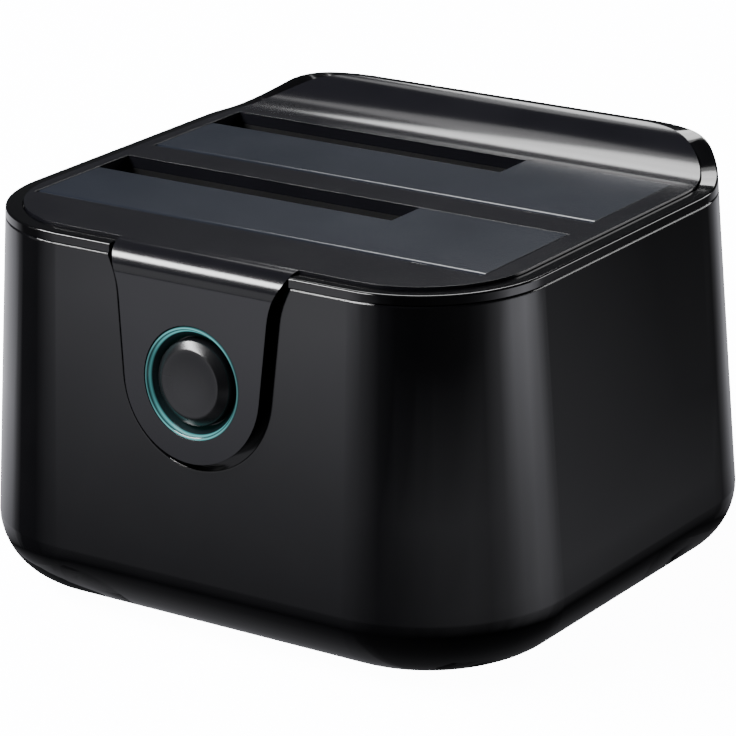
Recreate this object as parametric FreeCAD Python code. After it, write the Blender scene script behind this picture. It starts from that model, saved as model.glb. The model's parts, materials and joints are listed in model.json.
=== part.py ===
import FreeCAD, Part

import math
import os

from FreeCAD import Placement, Rotation, Vector

# Dual-bay drive duplicator. Millimetres, +Z up, X to the right and Y to the rear as seen from the
# front. The drives set the size of the bays, and the bays set the size of the case. The case is laid
# out about its own middle; at the end everything moves along Y so that the origin lies under the
# middle of the whole object, on the surface that it stands on.

# ---- Case: outer lines, heights measured from the underside of the shell ----
LAND_LEFT = 10.2            # bay to the side wall's outer line just above the foot radius
LAND_RIGHT = 12.2
LAND_FRONT = 22.0           # front bay to the front wall, at the same height
LAND_REAR = 26.25           # rear bay to the rear wall; takes the scoop and the crest
FOOT_RADIUS = 13.0          # large round between the walls and the underside
CORNER_RADIUS = 29.6        # plan radius of the corners at the same height
DRAFT = 3.7                 # lean of all four walls, degrees
WALL = 2.5                  # shell wall
EDGE_BREAK = 0.4            # broken edges of the mouldings
SEAM = 0.15                 # visible gap between neighbouring mouldings
FOOT_PROUD = 1.0            # rubber feet below the shell

# ---- Rear rise of the rim and of the scoop behind the bays ----
RISE = 5.9
SCOOP_MARGIN = 2.1          # flat behind the rear bay before the surface turns up
SCOOP_RADIUS = 22.0
CREST_RADIUS = 10.0

# ---- Rim and top panel ----
RIM_HEIGHT = 2.3            # upper edge of the shell to the flat of the panel
PANEL_THICK = 2.5
RIM_INSET = 3.5             # outer line of the case to the edge of the panel
RIM_STEP = 0.4              # panel above the rim
RIM_BEVEL = 1.1
LEDGE = 1.0                 # what the rim carries of the panel
LIP_DEPTH = 4.0             # rim inside the shell

# ---- Tongue on the front ----
TONGUE_PROUD = 1.75
TONGUE_SUNK = 1.75          # back of the tongue behind the face of the shell
TONGUE_RADIUS = 15.5
TONGUE_FLARE = 5.5          # degrees, sides of the tongue
NECK_HALF = 20.4
NECK_BLEND = 2.6            # concave round between neck and panel
NECK_SHOULDER = 6.8         # neck's full width begins this far below the top
TONGUE_ROLL = 6.0
TONGUE_GAP = 1.65           # groove round the tongue, open down to the flange
FLANGE_OVERLAP = 1.5        # blind flange behind the shell, past the groove
FLANGE_THICK = 1.4

# ---- Drives ----
DRIVE_35_WIDTH = 101.6
DRIVE_35_THICK = 26.1
DRIVE_25_WIDTH = 69.85
DRIVE_25_THICK = 9.5
SIDE_CLEAR = 0.95           # drive to bay, each side
FACE_CLEAR = 0.2            # drive to bay, each face
BAY_BRIDGE = 8.15           # panel between the bays
BAY_DEPTH = 53.6            # panel to the floor of the well

# ---- Flaps ----
FLAP_THICK = 1.8
BARREL_RADIUS = 1.3
BARREL_AHEAD = 0.1          # barrel in front of the standing drive
PIN_RADIUS = 0.5
PIN_CLEAR = 0.05
PIN_SEAT = 1.7              # pin beyond the opening, each end
FLAP_SIDE_GAP = 0.35
FLAP_GAP = 0.25
TAB_REACH = 1.0
TAB_WIDTH = 5.0
TAB_THICK = 1.0
TAB_ROOT = 3.0              # tab under the flap
TAB_FROM_END = 10.0         # ends of the flap's wide part to the middles of the tabs
RIB_WIDTH = 0.9
RIB_DEPTH = 1.1
RIB_COUNT = 4
RIB_FROM_END = 3.6
SPRING_ROOM = 3.6           # barrel cut away for the torsion spring
SPRING_SKIN = 0.3           # flap left over the spring
SPRING_FROM_END = 14.4
SPRING_WIRE = 0.4
SPRING_TURNS = 2
SPRING_PITCH = 0.6
SPRING_LEG = 9.0
SPRING_LEG_ANGLE = 60       # fixed leg below the line across the pin, degrees

# ---- Drive guides ----
GUIDE_WALL = 1.6
GUIDE_FLOOR = 2.0
GUIDE_GAP = 0.2             # guide to the rim round it
RECESS = 3.0                # flap pocket in front of the pin
POCKET_ROOM = 1.0           # below the open flap
POST_SIZE = 7.0
POST_INSET = 13.75          # sides of the bay to the posts and the ears
EAR_SIZE = 8.0
EAR_THICK = 1.6
BOSS_DROP = 6.0             # panel's underside to the ears
BOSS_SIZE = 5.2
SADDLE_THICK = 1.2          # props under the ends of the pin
SADDLE_ROOT = 1.0

# ---- Base, board and feet ----
BASE_INSET = 2.0            # foot radius to the edge of the base plate
BASE_THICK = 2.7
BASE_FLANGE = 1.3
BASE_STEP = 1.8
BASE_GAP = 0.2
BOARD_GAP = 11.0            # underside of the shell to the board
BOARD_THICK = 1.6
BOARD_ROOM = 9.4            # board to the floor of the wells
BOARD_MARGIN_X = 0.95       # foot radius to the board's edge
BOARD_MARGIN_Y = 4.65
BOARD_TAIL_MARGIN = 6.8     # power switch to the side of the board's tail
STANDOFF_SIZE = 9.0
SCREW_RADIUS = 1.5
SCREW_HEAD_RADIUS = 2.75
SCREW_HEAD = 2.0
SCREW_SINK = 1.6
SCREW_GRIP = 4.6
SMALL_SCREW_RADIUS = 0.9
SMALL_HEAD_RADIUS = 1.9
SMALL_HEAD = 1.3
SCREW_CLEAR = 0.05
HOLE_CLEAR = 0.2
FOOT_PAD_RADIUS = 5.5
FOOT_MARGIN = 10.8          # edge of the base plate to the middle of a foot
VENT_WIDTH = 2.0
VENT_LENGTH = 22.0
VENT_PITCH = 5.0
VENT_COUNT = 6
CAN_RADIUS = 3.15
CAN_HEIGHT = 5.8
CAN_X = -30.0
CAN_PITCH = 7.5
CAN_COUNT = 3
CAN_GAP = 2.65              # behind the cans, to the power socket
CHIPS = (                   # middle x, middle y, side, height
    (14.0, -26.0, 12.0, 1.4),
    (14.0, 8.0, 10.0, 1.2),
    (27.0, -26.0, 5.0, 1.6),
    (-20.0, 8.0, 7.0, 1.0),
)
INDUCTOR_X = 30.5
INDUCTOR_Y = (-4.0, 28.0)
INDUCTOR_SIZE = 7.0
INDUCTOR_HEIGHT = 3.2
INDUCTOR_BEVEL = 1.0
CABLE_WIDTH = 6.0
CABLE_THICK = 0.3
CABLE_GRIP = 1.0            # length in each header
CABLE_STRAIGHT = 3.0        # straight length beyond each header
HEADER_WIDTH = 9.0
HEADER_DEEP = 3.0
HEADER_HEIGHT = 3.0
HEADER_LOW = 1.2            # height of the header on the button's board
HEADER_FROM_EDGE = 3.0

# ---- SATA receptacles ----
SATA_FROM_EDGE = 24.0       # side of the bay to the middle of the receptacle
SATA_FROM_FACE = 4.0        # rear of the bay to the middle of the receptacle
SATA_WIDTH = 38.0
SATA_THICK = 5.8
SATA_ABOVE_FLOOR = 5.0
SATA_POCKET = 5.2
SATA_SLOT = 1.6
SATA_POWER = 20.6
SATA_SIGNAL = 10.4
SATA_RIB = 2.0              # between the two pockets
SATA_KEY = 1.4
SATA_PITCH = 1.27
CONTACT_WIDTH = 0.8
CONTACT_THICK = 0.3
POWER_WAY_COUNT = 15
SIGNAL_WAY_COUNT = 7

# ---- Start button, measured inwards from the face of the tongue ----
BUTTON_DROP = 23.5          # below the flat of the panel
BUTTON_TRAVEL = 1.0
CAP_RADIUS = 8.25
CAP_PROUD = 1.5
CAP_FACE_RADIUS = 7.0
CAP_WALL = 1.5
CAP_FLANGE = 1.1
CAP_LENGTH = 4.4
RING_BORE = 8.55
RING_RADIUS = 10.8
RING_LIP = 3.0
RING_FLANGE = 1.4
RING_GAP = 0.1
RING_ROOM = 0.65            # round the cap's flange
STEM_RADIUS = 2.2
STEM_DEPTH = 8.5
SWITCH_BODY = 6.0
SWITCH_HEIGHT = 3.5
SWITCH_PLUNGER = 1.75
PLUNGER_OUT = 2.4
PLUNGER_IN = 1.3
LED_LENGTH = 3.0
LED_WIDTH = 1.5
LED_HEIGHT = 1.2
LED_COUNT = 4
BUTTON_BOARD_X = 17.3
BUTTON_BOARD_Y = 12.5
BUTTON_BOSS_X = 14.4
BUTTON_BOSS_RADIUS = 2.0

# ---- Rear sockets and power switch ----
PORT_RECESS = 1.5           # sockets behind the foot of the rear wall
PORT_GAP = 0.3
USB_X = 0.0
USB_WIDTH = 12.0
USB_LOW = 9.0
USB_TOP_WIDTH = 8.4
USB_TOP = 4.2
USB_DEPTH = 16.5
USB_SHELL = 0.45
USB_MOUTH = 9.5
USB_TONGUE_HALF = 2.8
USB_TONGUE_LOW = 3.2        # thickness of the lower tongue
USB_TONGUE_HIGH = 1.2
USB_TONGUE_BACK = 1.0       # tongues behind the socket's mouth
USB_LEAF_WIDTH = 0.5
USB_LEAF_THICK = 0.15
USB_LEAF_BACK = 0.5         # leaves behind the end of their tongue
USB_LEAF_PITCH_LOW = 2.5
USB_LEAF_PITCH_HIGH = 1.0
JACK_X = -22.0
JACK_WIDTH = 9.0
JACK_HEIGHT = 11.0
JACK_DEPTH = 13.5
JACK_BORE = 3.2
JACK_PIN = 1.0
JACK_MOUTH = 9.5
SWITCH_X = 22.0
ROCKER_WIDTH = 8.0
ROCKER_HALF = 6.0
ROCKER_END = 1.6
ROCKER_VALLEY = 0.5
ROCKER_BELLY = 3.0
ROCKER_BELLY_HALF = 4.2
ROCKER_TILT = 11.0
ROCKER_PIVOT = 2.6          # behind the face of the switch
ROCKER_AXLE = 1.0
ROCKER_AXLE_END = 0.8
SWITCH_RIM = 1.2
ROCKER_GAP = 0.25
SWITCH_DEPTH = 12.0
SWITCH_POCKET = 8.0

# ---- Places that follow from the sizes above ----
Z_SHELL = FOOT_PROUD
Z_WALL_LOW = Z_SHELL + FOOT_RADIUS
Z_BASE_TOP = Z_SHELL + BASE_THICK
Z_BOARD = Z_SHELL + BOARD_GAP
Z_BOARD_TOP = Z_BOARD + BOARD_THICK
Z_WELL_FLOOR = Z_BOARD_TOP + BOARD_ROOM
Z_TOP = Z_WELL_FLOOR + BAY_DEPTH
Z_WALL_TOP = Z_TOP - RIM_HEIGHT
Z_PANEL_LOW = Z_TOP - PANEL_THICK
Z_HINGE = Z_TOP - BARREL_RADIUS
Z_BUTTON = Z_TOP - BUTTON_DROP

BAY_WIDTH = DRIVE_35_WIDTH + 2 * SIDE_CLEAR
BAY_LENGTH = DRIVE_35_THICK + 2 * FACE_CLEAR
HINGE_TO_REAR = BAY_LENGTH + BARREL_AHEAD + BARREL_RADIUS
BAY_OPENING = HINGE_TO_REAR + BARREL_RADIUS + FLAP_GAP
BAY_PITCH = BAY_OPENING + BAY_BRIDGE
BODY_WIDTH = LAND_LEFT + BAY_WIDTH + LAND_RIGHT
BODY_DEPTH = LAND_FRONT + BAY_OPENING + BAY_PITCH + LAND_REAR
BAY_LEFT = LAND_LEFT - BODY_WIDTH / 2
BAY_RIGHT = BODY_WIDTH / 2 - LAND_RIGHT
LAST_BAY_REAR = BODY_DEPTH / 2 - LAND_REAR
FAR = BODY_WIDTH            # longer than anything that a cut has to pass
SLOT_WIDTH = DRIVE_25_WIDTH + 2 * FACE_CLEAR
SLOT_LENGTH = DRIVE_25_THICK + 2 * FACE_CLEAR
SCOOP_START = LAST_BAY_REAR + SCOOP_MARGIN
SATA_X = BAY_LEFT + SATA_FROM_EDGE
BAYS = {"front": LAST_BAY_REAR - BAY_PITCH, "rear": LAST_BAY_REAR}

ACROSS = Rotation(Vector(1, 1, 1), 120)     # drawn x, y become Y, Z and the depth runs along X
FACING = Rotation(Vector(1, 0, 0), 90)      # drawn x, y become X, Z and the depth runs forward
BUTTON_TURN = Rotation(Vector(1, 0, 0), 90 - DRAFT)


def slope(degrees):
    return math.tan(math.radians(degrees))


# ---- Drawing helpers ----

def outline(corners, radii=0.0):
    """Closed wire through the corners in the XY plane, each one rounded by its radius."""
    count = len(corners)
    if not isinstance(radii, (list, tuple)):
        radii = [radii] * count
    rounds = []
    for index in range(count):
        corner = Vector(*corners[index], 0)
        if radii[index] <= 0:
            rounds.append((corner, corner, None))
            continue
        back = (Vector(*corners[index - 1], 0) - corner).normalize()
        ahead = (Vector(*corners[(index + 1) % count], 0) - corner).normalize()
        half = back.getAngle(ahead) / 2
        reach = radii[index] / math.tan(half)
        middle = (back + ahead).normalize()
        start = corner + back * reach
        end = corner + ahead * reach
        crown = corner + middle * (radii[index] / math.sin(half) - radii[index])
        rounds.append((start, end, Part.Arc(start, crown, end).toShape()))
    edges = []
    for index in range(count):
        arc = rounds[index][2]
        if arc:
            edges.append(arc)
        start = rounds[index][1]
        end = rounds[(index + 1) % count][0]
        if start.distanceToPoint(end) > 1e-6:
            edges.append(Part.makeLine(start, end))
    return Part.Wire(edges)


def prism(wire, low, high):
    """Solid between two levels with the wire as its plan."""
    face = Part.Face(wire)
    face.translate(Vector(0, 0, low))
    return face.extrude(Vector(0, 0, high - low))


def across(corners, x_low, x_high, radii=0.0):
    """Solid whose side view (y, z) is the outline, between two places along X."""
    solid = prism(outline(corners, radii), x_low, x_high)
    solid.Placement = Placement(Vector(), ACROSS)
    return solid


def facing(corners, y_front, y_rear, radii=0.0):
    """Solid whose front view (x, z) is the outline, between two places along Y."""
    solid = prism(outline(corners, radii), -y_rear, -y_front)
    solid.Placement = Placement(Vector(), FACING)
    return solid


def box(x_low, x_high, y_low, y_high, z_low, z_high):
    return Part.makeBox(x_high - x_low, y_high - y_low, z_high - z_low, Vector(x_low, y_low, z_low))


def post(x, y, z_low, z_high, radius):
    return Part.makeCylinder(radius, z_high - z_low, Vector(x, y, z_low))


def square_post(x, y, z_low, z_high, size):
    return box(x - size / 2, x + size / 2, y - size / 2, y + size / 2, z_low, z_high)


def rod(x_low, x_high, y, z, radius):
    return Part.makeCylinder(radius, x_high - x_low, Vector(x_low, y, z), Vector(1, 0, 0))


def turned(profile):
    """Solid of revolution about Z; the profile gives (radius, height) corners."""
    face = Part.Face(outline(profile))
    face.rotate(Vector(), Vector(1, 0, 0), 90)
    return face.revolve(Vector(), Vector(0, 0, 1), 360)


def joined(shapes):
    result = shapes[0]
    if len(shapes) > 1:
        result = result.fuse(shapes[1:])
    return result.removeSplitter()


def rect(x_low, x_high, y_low, y_high):
    return [(x_low, y_low), (x_high, y_low), (x_high, y_high), (x_low, y_high)]


# ---- The case's own surfaces ----

def wall_lean(z):
    """How far the drafted walls have come in at a height."""
    return slope(DRAFT) * (z - Z_WALL_LOW)


def wall_lines(z):
    """Half width, front line and rear line of the drafted walls at a height."""
    lean = wall_lean(z)
    return BODY_WIDTH / 2 - lean, lean - BODY_DEPTH / 2, BODY_DEPTH / 2 - lean


def wall_wire(z, inset):
    """Plan section of the case at a height, drawn in by the inset."""
    half, front, rear = wall_lines(z)
    radius = CORNER_RADIUS - wall_lean(z) - inset
    return outline(rect(-half + inset, half - inset, front + inset, rear - inset), radius)


def wall_block(z_low, z_high, inset=0.0):
    """Solid within the drafted walls between two heights."""
    low = wall_wire(z_low, inset)
    high = wall_wire(z_high, inset)
    low.translate(Vector(0, 0, z_low))
    high.translate(Vector(0, 0, z_high))
    return Part.makeLoft([low, high], True, True)


def footed_block(z_high, inset=0.0):
    """Solid within the walls, drawn in by the inset: the foot is round outside, a plain bevel inside."""
    low = Z_SHELL + inset
    foot = prism(wall_wire(Z_WALL_LOW, inset), low, Z_WALL_TOP)
    foot_edges = edges_where(foot, lambda e: e.BoundBox.ZMax < low + EDGE_BREAK)
    if inset > 0:
        foot = foot.makeChamfer((FOOT_RADIUS - inset) * (2 - math.sqrt(2)), foot_edges)
    else:
        foot = foot.makeFillet(FOOT_RADIUS, foot_edges)
    foot = foot.common(box(-FAR, FAR, -FAR, FAR, 0, Z_WALL_LOW))
    return foot.fuse(wall_block(Z_WALL_LOW, z_high, inset))


def plan_block(z_low, z_high, inset):
    """Upright solid with the case's plan at the level of the panel, drawn in by the inset."""
    return prism(wall_wire(Z_TOP, inset), z_low, z_high)


def below_top(drop):
    """Everything below the panel's surface: flat, then up the scoop, then level along the crest."""
    total = SCOOP_RADIUS + CREST_RADIUS
    turn = math.acos(1 - RISE / total)
    rise = Z_TOP + RISE - drop

    def on_scoop(angle):
        radius = SCOOP_RADIUS + drop
        centre = Z_TOP + SCOOP_RADIUS
        return Vector(0, SCOOP_START + radius * math.sin(angle), centre - radius * math.cos(angle))

    def on_crest(angle):
        radius = CREST_RADIUS - drop
        centre_y = SCOOP_START + total * math.sin(turn)
        centre_z = Z_TOP + RISE - CREST_RADIUS
        return Vector(0, centre_y - radius * math.sin(angle), centre_z + radius * math.cos(angle))

    start = Vector(0, -FAR, Z_TOP - drop)
    corners = [Vector(0, FAR, rise), Vector(0, FAR, -FAR), Vector(0, -FAR, -FAR), start]
    edges = [
        Part.makeLine(start, on_scoop(0)),
        Part.Arc(on_scoop(0), on_scoop(turn / 2), on_scoop(turn)).toShape(),
        Part.Arc(on_scoop(turn), on_crest(turn / 2), on_crest(0)).toShape(),
        Part.makeLine(on_crest(0), corners[0]),
    ]
    for first, second in zip(corners, corners[1:]):
        edges.append(Part.makeLine(first, second))
    face = Part.Face(Part.Wire(edges))
    face.translate(Vector(-FAR, 0, 0))
    return face.extrude(Vector(2 * FAR, 0, 0))


def edges_where(solid, test):
    return [edge for edge in solid.Edges if test(edge)]


# ---- Tongue geometry, shared by the panel, the rim and the shell ----

def tongue_view(grow):
    """Front view of the tongue and its neck, grown on all sides."""
    radius = TONGUE_RADIUS + grow
    flare = math.radians(TONGUE_FLARE)
    foot = radius * (1 - math.sin(flare)) / math.cos(flare)
    low = Z_BUTTON - radius
    shoulder = Z_TOP - NECK_SHOULDER
    waist = foot + (shoulder - low) * math.tan(flare)
    neck = NECK_HALF + grow
    right = [(foot, low), (waist, shoulder), (neck, Z_TOP), (neck, Z_TOP + RISE)]
    left = [(-x, z) for x, z in reversed(right)]
    rounds = [radius, TONGUE_RADIUS, TONGUE_ROLL, 0.0]
    return right + left, rounds + rounds[::-1]


def tongue_mask(grow, y_front, y_rear):
    corners, rounds = tongue_view(grow)
    return facing(corners, y_front, y_rear, rounds)


def neck_mask(grow, low, high):
    """Plan of the neck with the concave rounds that lead into the panel."""
    edge = wall_lines(Z_TOP)[1] + RIM_INSET - grow
    half = NECK_HALF + grow
    wide = half + 2 * NECK_BLEND
    corners = [(wide, edge), (wide, 0), (-wide, 0), (-wide, edge), (-half, edge), (-half, -FAR), (half, -FAR),
               (half, edge)]
    blend = NECK_BLEND - grow
    return prism(outline(corners, [0, 0, 0, 0, blend, 0, 0, blend]), low, high)


def face_line(z, sunk):
    """Place along Y of a plane parallel to the front wall, behind its face by what is sunk."""
    return wall_lines(z)[1] + sunk / math.cos(math.radians(DRAFT))


def tongue_band(proud, sunk, z_low):
    """Side view of the tongue: panel thickness above, rolled over and down along the wall."""
    back = face_line(Z_TOP, RIM_INSET) + 2 * PANEL_THICK
    corners = [
        (back, Z_TOP),
        (face_line(Z_TOP, -proud), Z_TOP),
        (face_line(z_low, -proud), z_low),
        (face_line(z_low, sunk), z_low),
        (face_line(Z_PANEL_LOW, sunk), Z_PANEL_LOW),
        (back, Z_PANEL_LOW),
    ]
    inner = TONGUE_ROLL - proud - sunk
    return across(corners, -FAR / 2, FAR / 2, [0, TONGUE_ROLL, 0, 0, inner, 0])


def on_tongue(shape):
    """Puts a shape drawn about the button's axis (outwards along Z) on the face of the tongue."""
    place = Placement(Vector(0, face_line(Z_BUTTON, -TONGUE_PROUD), Z_BUTTON), BUTTON_TURN)
    shape.Placement = place.multiply(shape.Placement)
    return shape


def tongue_back():
    """Depth of the tongue's rear face below its front face."""
    return TONGUE_PROUD + TONGUE_SUNK


# ---- Case mouldings ----

def port_views():
    """Front views (x, z) of the three things that look out of the rear wall."""
    usb = [
        (USB_X - USB_WIDTH / 2, Z_BOARD_TOP),
        (USB_X + USB_WIDTH / 2, Z_BOARD_TOP),
        (USB_X + USB_WIDTH / 2, Z_BOARD_TOP + USB_LOW),
        (USB_X + USB_TOP_WIDTH / 2, Z_BOARD_TOP + USB_LOW),
        (USB_X + USB_TOP_WIDTH / 2, Z_BOARD_TOP + USB_LOW + USB_TOP),
        (USB_X - USB_TOP_WIDTH / 2, Z_BOARD_TOP + USB_LOW + USB_TOP),
        (USB_X - USB_TOP_WIDTH / 2, Z_BOARD_TOP + USB_LOW),
        (USB_X - USB_WIDTH / 2, Z_BOARD_TOP + USB_LOW),
    ]
    jack = rect(JACK_X - JACK_WIDTH / 2, JACK_X + JACK_WIDTH / 2, Z_BOARD_TOP, Z_BOARD_TOP + JACK_HEIGHT)
    half = ROCKER_WIDTH / 2 + SWITCH_RIM
    tall = 2 * (ROCKER_HALF + SWITCH_RIM)
    switch = rect(SWITCH_X - half, SWITCH_X + half, Z_BOARD_TOP, Z_BOARD_TOP + tall)
    return usb, jack, switch


def grown(corners, gap):
    """The same view, larger by the gap on each side of its own middle."""
    middle_x = (min(x for x, z in corners) + max(x for x, z in corners)) / 2
    middle_z = (min(z for x, z in corners) + max(z for x, z in corners)) / 2
    moved = []
    for x, z in corners:
        moved.append((x + gap if x > middle_x else x - gap, z + gap if z > middle_z else z - gap))
    return moved


def port_face():
    """Plane of the sockets' faces, along Y."""
    return BODY_DEPTH / 2 - PORT_RECESS


def flat_reach(margin):
    """Half width and half depth of the flat inside the foot radius, less a margin."""
    return BODY_WIDTH / 2 - FOOT_RADIUS - margin, BODY_DEPTH / 2 - FOOT_RADIUS - margin


def base_plan(inset):
    half, deep = flat_reach(BASE_INSET + inset)
    return outline(rect(-half, half, -deep, deep), CORNER_RADIUS - FOOT_RADIUS - BASE_INSET - inset)


def outer_shell():
    """Glossy sleeve: drafted walls on a large foot radius, open above, notched for the tongue."""
    solid = footed_block(Z_WALL_TOP).cut(footed_block(Z_WALL_TOP + WALL, WALL))
    rim_edges = edges_where(solid, lambda e: e.BoundBox.ZMin > Z_WALL_TOP - EDGE_BREAK and on_outside(e))
    solid = solid.makeChamfer(EDGE_BREAK, rim_edges)
    solid = solid.cut(prism(base_plan(-BASE_GAP), Z_SHELL - WALL, Z_SHELL + BASE_FLANGE))
    solid = solid.cut(prism(base_plan(BASE_STEP - BASE_GAP), Z_SHELL, Z_SHELL + 2 * WALL))
    solid = solid.cut(tongue_mask(TONGUE_GAP, -FAR, 0))
    for view in port_views():
        solid = solid.cut(facing(grown(view, PORT_GAP), 0, FAR))
    return solid


def on_outside(edge):
    """True for an edge on the case's outer line rather than on the inside of its wall."""
    half, front, rear = wall_lines(Z_WALL_TOP)
    bounds = edge.BoundBox
    reach = max(bounds.XMax, -bounds.XMin) > half - WALL / 2
    return reach or bounds.YMin < front + WALL / 2 or bounds.YMax > rear - WALL / 2


def top_rim():
    """Glossy bezel on the shell: rounded outer edge, ledge for the panel, lip inside the shell."""
    crest = Z_TOP + RISE + FOOT_RADIUS
    band = wall_block(Z_WALL_TOP, crest).common(below_top(RIM_STEP))
    outer = edges_where(band, lambda e: e.BoundBox.ZMin > Z_WALL_TOP + EDGE_BREAK
                        and e.BoundBox.ZMax - e.BoundBox.ZMin < RISE + EDGE_BREAK)
    band = band.makeChamfer(RIM_BEVEL, outer)
    lip = wall_block(Z_WALL_TOP - LIP_DEPTH, crest, WALL + SEAM).common(below_top(PANEL_THICK))
    rim = band.fuse(lip)
    rim = rim.cut(plan_block(0, crest, RIM_INSET + LEDGE))
    rim = rim.cut(plan_block(0, crest, RIM_INSET - SEAM).cut(below_top(PANEL_THICK)))
    rim = rim.cut(tongue_mask(SEAM, -FAR, face_line(Z_WALL_TOP, WALL)))
    rim = rim.cut(neck_mask(SEAM, Z_PANEL_LOW, crest))
    roll = tongue_band(TONGUE_PROUD, TONGUE_SUNK + SEAM, Z_BUTTON)
    rim = rim.cut(roll.common(tongue_mask(SEAM, -FAR, 0)))
    for which in BAYS:
        rim = rim.cut(guide_room(which, GUIDE_GAP))
    return rim.removeSplitter()


def guide_room(which, gap):
    """Upright box round a guide, larger by the gap, from the rim's lip up to the panel."""
    rear = BAYS[which]
    front = rear - HINGE_TO_REAR - RECESS - GUIDE_WALL
    side = GUIDE_WALL + gap
    low = Z_WALL_TOP - 2 * LIP_DEPTH
    return box(BAY_LEFT - side, BAY_RIGHT + side, front - gap, rear + side, low, Z_PANEL_LOW)


def bay_plan(rear):
    """Corners of a bay's opening in the panel."""
    return rect(BAY_LEFT, BAY_RIGHT, rear - BAY_OPENING, rear)


def ear_places():
    """Where the guides are screwed to the panel: in front of the front bay, behind the rear one."""
    front = BAYS["front"] - HINGE_TO_REAR - RECESS - GUIDE_WALL - EAR_SIZE / 2
    rear = BAYS["rear"] + GUIDE_WALL + EAR_SIZE / 2
    places = {"front": [], "rear": []}
    for x in post_sides():
        places["front"].append((x, front))
        places["rear"].append((x, rear))
    return places


def top_panel():
    """Satin panel: plate with the scoop, two bay openings, and the tongue rolled over the front."""
    plate = plan_block(0, FAR, RIM_INSET).common(below_top(0)).cut(below_top(PANEL_THICK))
    z_low = Z_BUTTON - 2 * TONGUE_RADIUS
    tongue = tongue_band(TONGUE_PROUD, TONGUE_SUNK, z_low)
    tongue = tongue.common(tongue_mask(0, -FAR, 0)).common(neck_mask(0, 0, FAR))
    flange = tongue_band(-WALL - SEAM, WALL + SEAM + FLANGE_THICK, z_low)
    flange = flange.common(tongue_mask(TONGUE_GAP + FLANGE_OVERLAP, -FAR, 0))
    flange = flange.cut(box(-FAR, FAR, -FAR, FAR, Z_WALL_TOP - LIP_DEPTH - SEAM, FAR))
    web = tongue_band(0, WALL + SEAM + FLANGE_THICK, z_low).common(tongue_mask(0, -FAR, 0))
    web = web.cut(box(-FAR, FAR, -FAR, FAR, Z_WALL_TOP - LIP_DEPTH - SEAM, FAR))
    panel = joined([plate, tongue, flange, web])
    for rear in BAYS.values():
        panel = panel.cut(prism(outline(bay_plan(rear)), 0, FAR))
    bosses = []
    for places in ear_places().values():
        for x, y in places:
            boss = square_post(x, y, Z_PANEL_LOW - BOSS_DROP, Z_TOP + RISE, BOSS_SIZE)
            bosses.append(boss.common(below_top(RIM_STEP)))
    panel = panel.fuse(bosses)
    for places in ear_places().values():
        for x, y in places:
            panel = panel.cut(post(x, y, 0, Z_PANEL_LOW, SMALL_SCREW_RADIUS + SCREW_CLEAR))
    for rear in BAYS.values():
        y = rear - HINGE_TO_REAR
        seat = PIN_RADIUS + SCREW_CLEAR
        groove = rod(BAY_LEFT - PIN_SEAT, BAY_RIGHT + PIN_SEAT, y, Z_HINGE, seat)
        slot = box(BAY_LEFT - PIN_SEAT, BAY_RIGHT + PIN_SEAT, y - seat, y + seat, 0, Z_HINGE)
        panel = panel.cut(groove.fuse(slot))
    back = tongue_back()
    hole = post(0, 0, -FAR, FAR, RING_RADIUS + RING_GAP)
    hole = hole.fuse(post(0, 0, -FAR, -back, RING_RADIUS + RING_FLANGE + RING_GAP))
    bosses = []
    root = TONGUE_PROUD + WALL + SEAM
    for side in (-1, 1):
        x = side * BUTTON_BOSS_X
        boss = post(x, 0, -button_board_top(), -root, BUTTON_BOSS_RADIUS)
        bosses.append(on_tongue(boss.cut(post(x, 0, -FAR, -root, SMALL_SCREW_RADIUS + SCREW_CLEAR))))
    return joined([panel.cut(on_tongue(hole))] + bosses)


def base_plate():
    """Black floor: a flanged plate with air slots and four square screw standoffs."""
    low = prism(base_plan(0), Z_SHELL, Z_SHELL + BASE_FLANGE)
    high = prism(base_plan(BASE_STEP), Z_SHELL, Z_BASE_TOP)
    standoffs = [square_post(x, y, Z_SHELL, Z_BOARD, STANDOFF_SIZE) for x, y in post_places()]
    plate = joined([low, high] + standoffs)
    sink = Z_SHELL + SCREW_SINK + SCREW_HEAD
    for x, y in post_places():
        plate = plate.cut(post(x, y, 0, Z_BOARD, SCREW_RADIUS + HOLE_CLEAR))
        plate = plate.cut(post(x, y, 0, sink, SCREW_HEAD_RADIUS + HOLE_CLEAR))
    for index in range(VENT_COUNT):
        x = (index - (VENT_COUNT - 1) / 2) * VENT_PITCH - VENT_WIDTH / 2
        plate = plate.cut(box(x, x + VENT_WIDTH, -VENT_LENGTH / 2, VENT_LENGTH / 2, 0, Z_BOARD))
    return plate


def post_sides():
    """Places along X of what holds a guide, inwards from the sides of the bay."""
    return BAY_LEFT + POST_INSET, BAY_RIGHT - POST_INSET


def post_places():
    """Four screw posts: two under the middle of each guide."""
    return [(x, rear - BAY_LENGTH / 2) for rear in BAYS.values() for x in post_sides()]


def foot_places():
    half, deep = flat_reach(BASE_INSET + FOOT_MARGIN)
    return [(x, y) for x in (-half, half) for y in (-deep, deep)]


def rubber_feet():
    """Four pads glued under the base plate."""
    feet = [post(x, y, 0, Z_SHELL, FOOT_PAD_RADIUS) for x, y in foot_places()]
    return Part.makeCompound(feet)


def hex_screw(radius, length, head_radius, head):
    """Hexagon-head screw along +Z with its head's seat at the origin; the thread is left plain."""
    corners = [(head_radius * math.cos(math.radians(60 * n)), head_radius * math.sin(math.radians(60 * n)))
               for n in range(6)]
    return prism(outline(corners), -head, 0).fuse(post(0, 0, 0, length, radius))


def case_screws():
    """Four screws up through base plate and board into the guides' posts."""
    seat = Z_SHELL + SCREW_SINK + SCREW_HEAD
    screws = []
    for x, y in post_places():
        screw = hex_screw(SCREW_RADIUS, Z_BOARD_TOP + SCREW_GRIP - seat, SCREW_HEAD_RADIUS, SCREW_HEAD)
        screw.translate(Vector(x, y, seat))
        screws.append(screw)
    return Part.makeCompound(screws)


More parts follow.
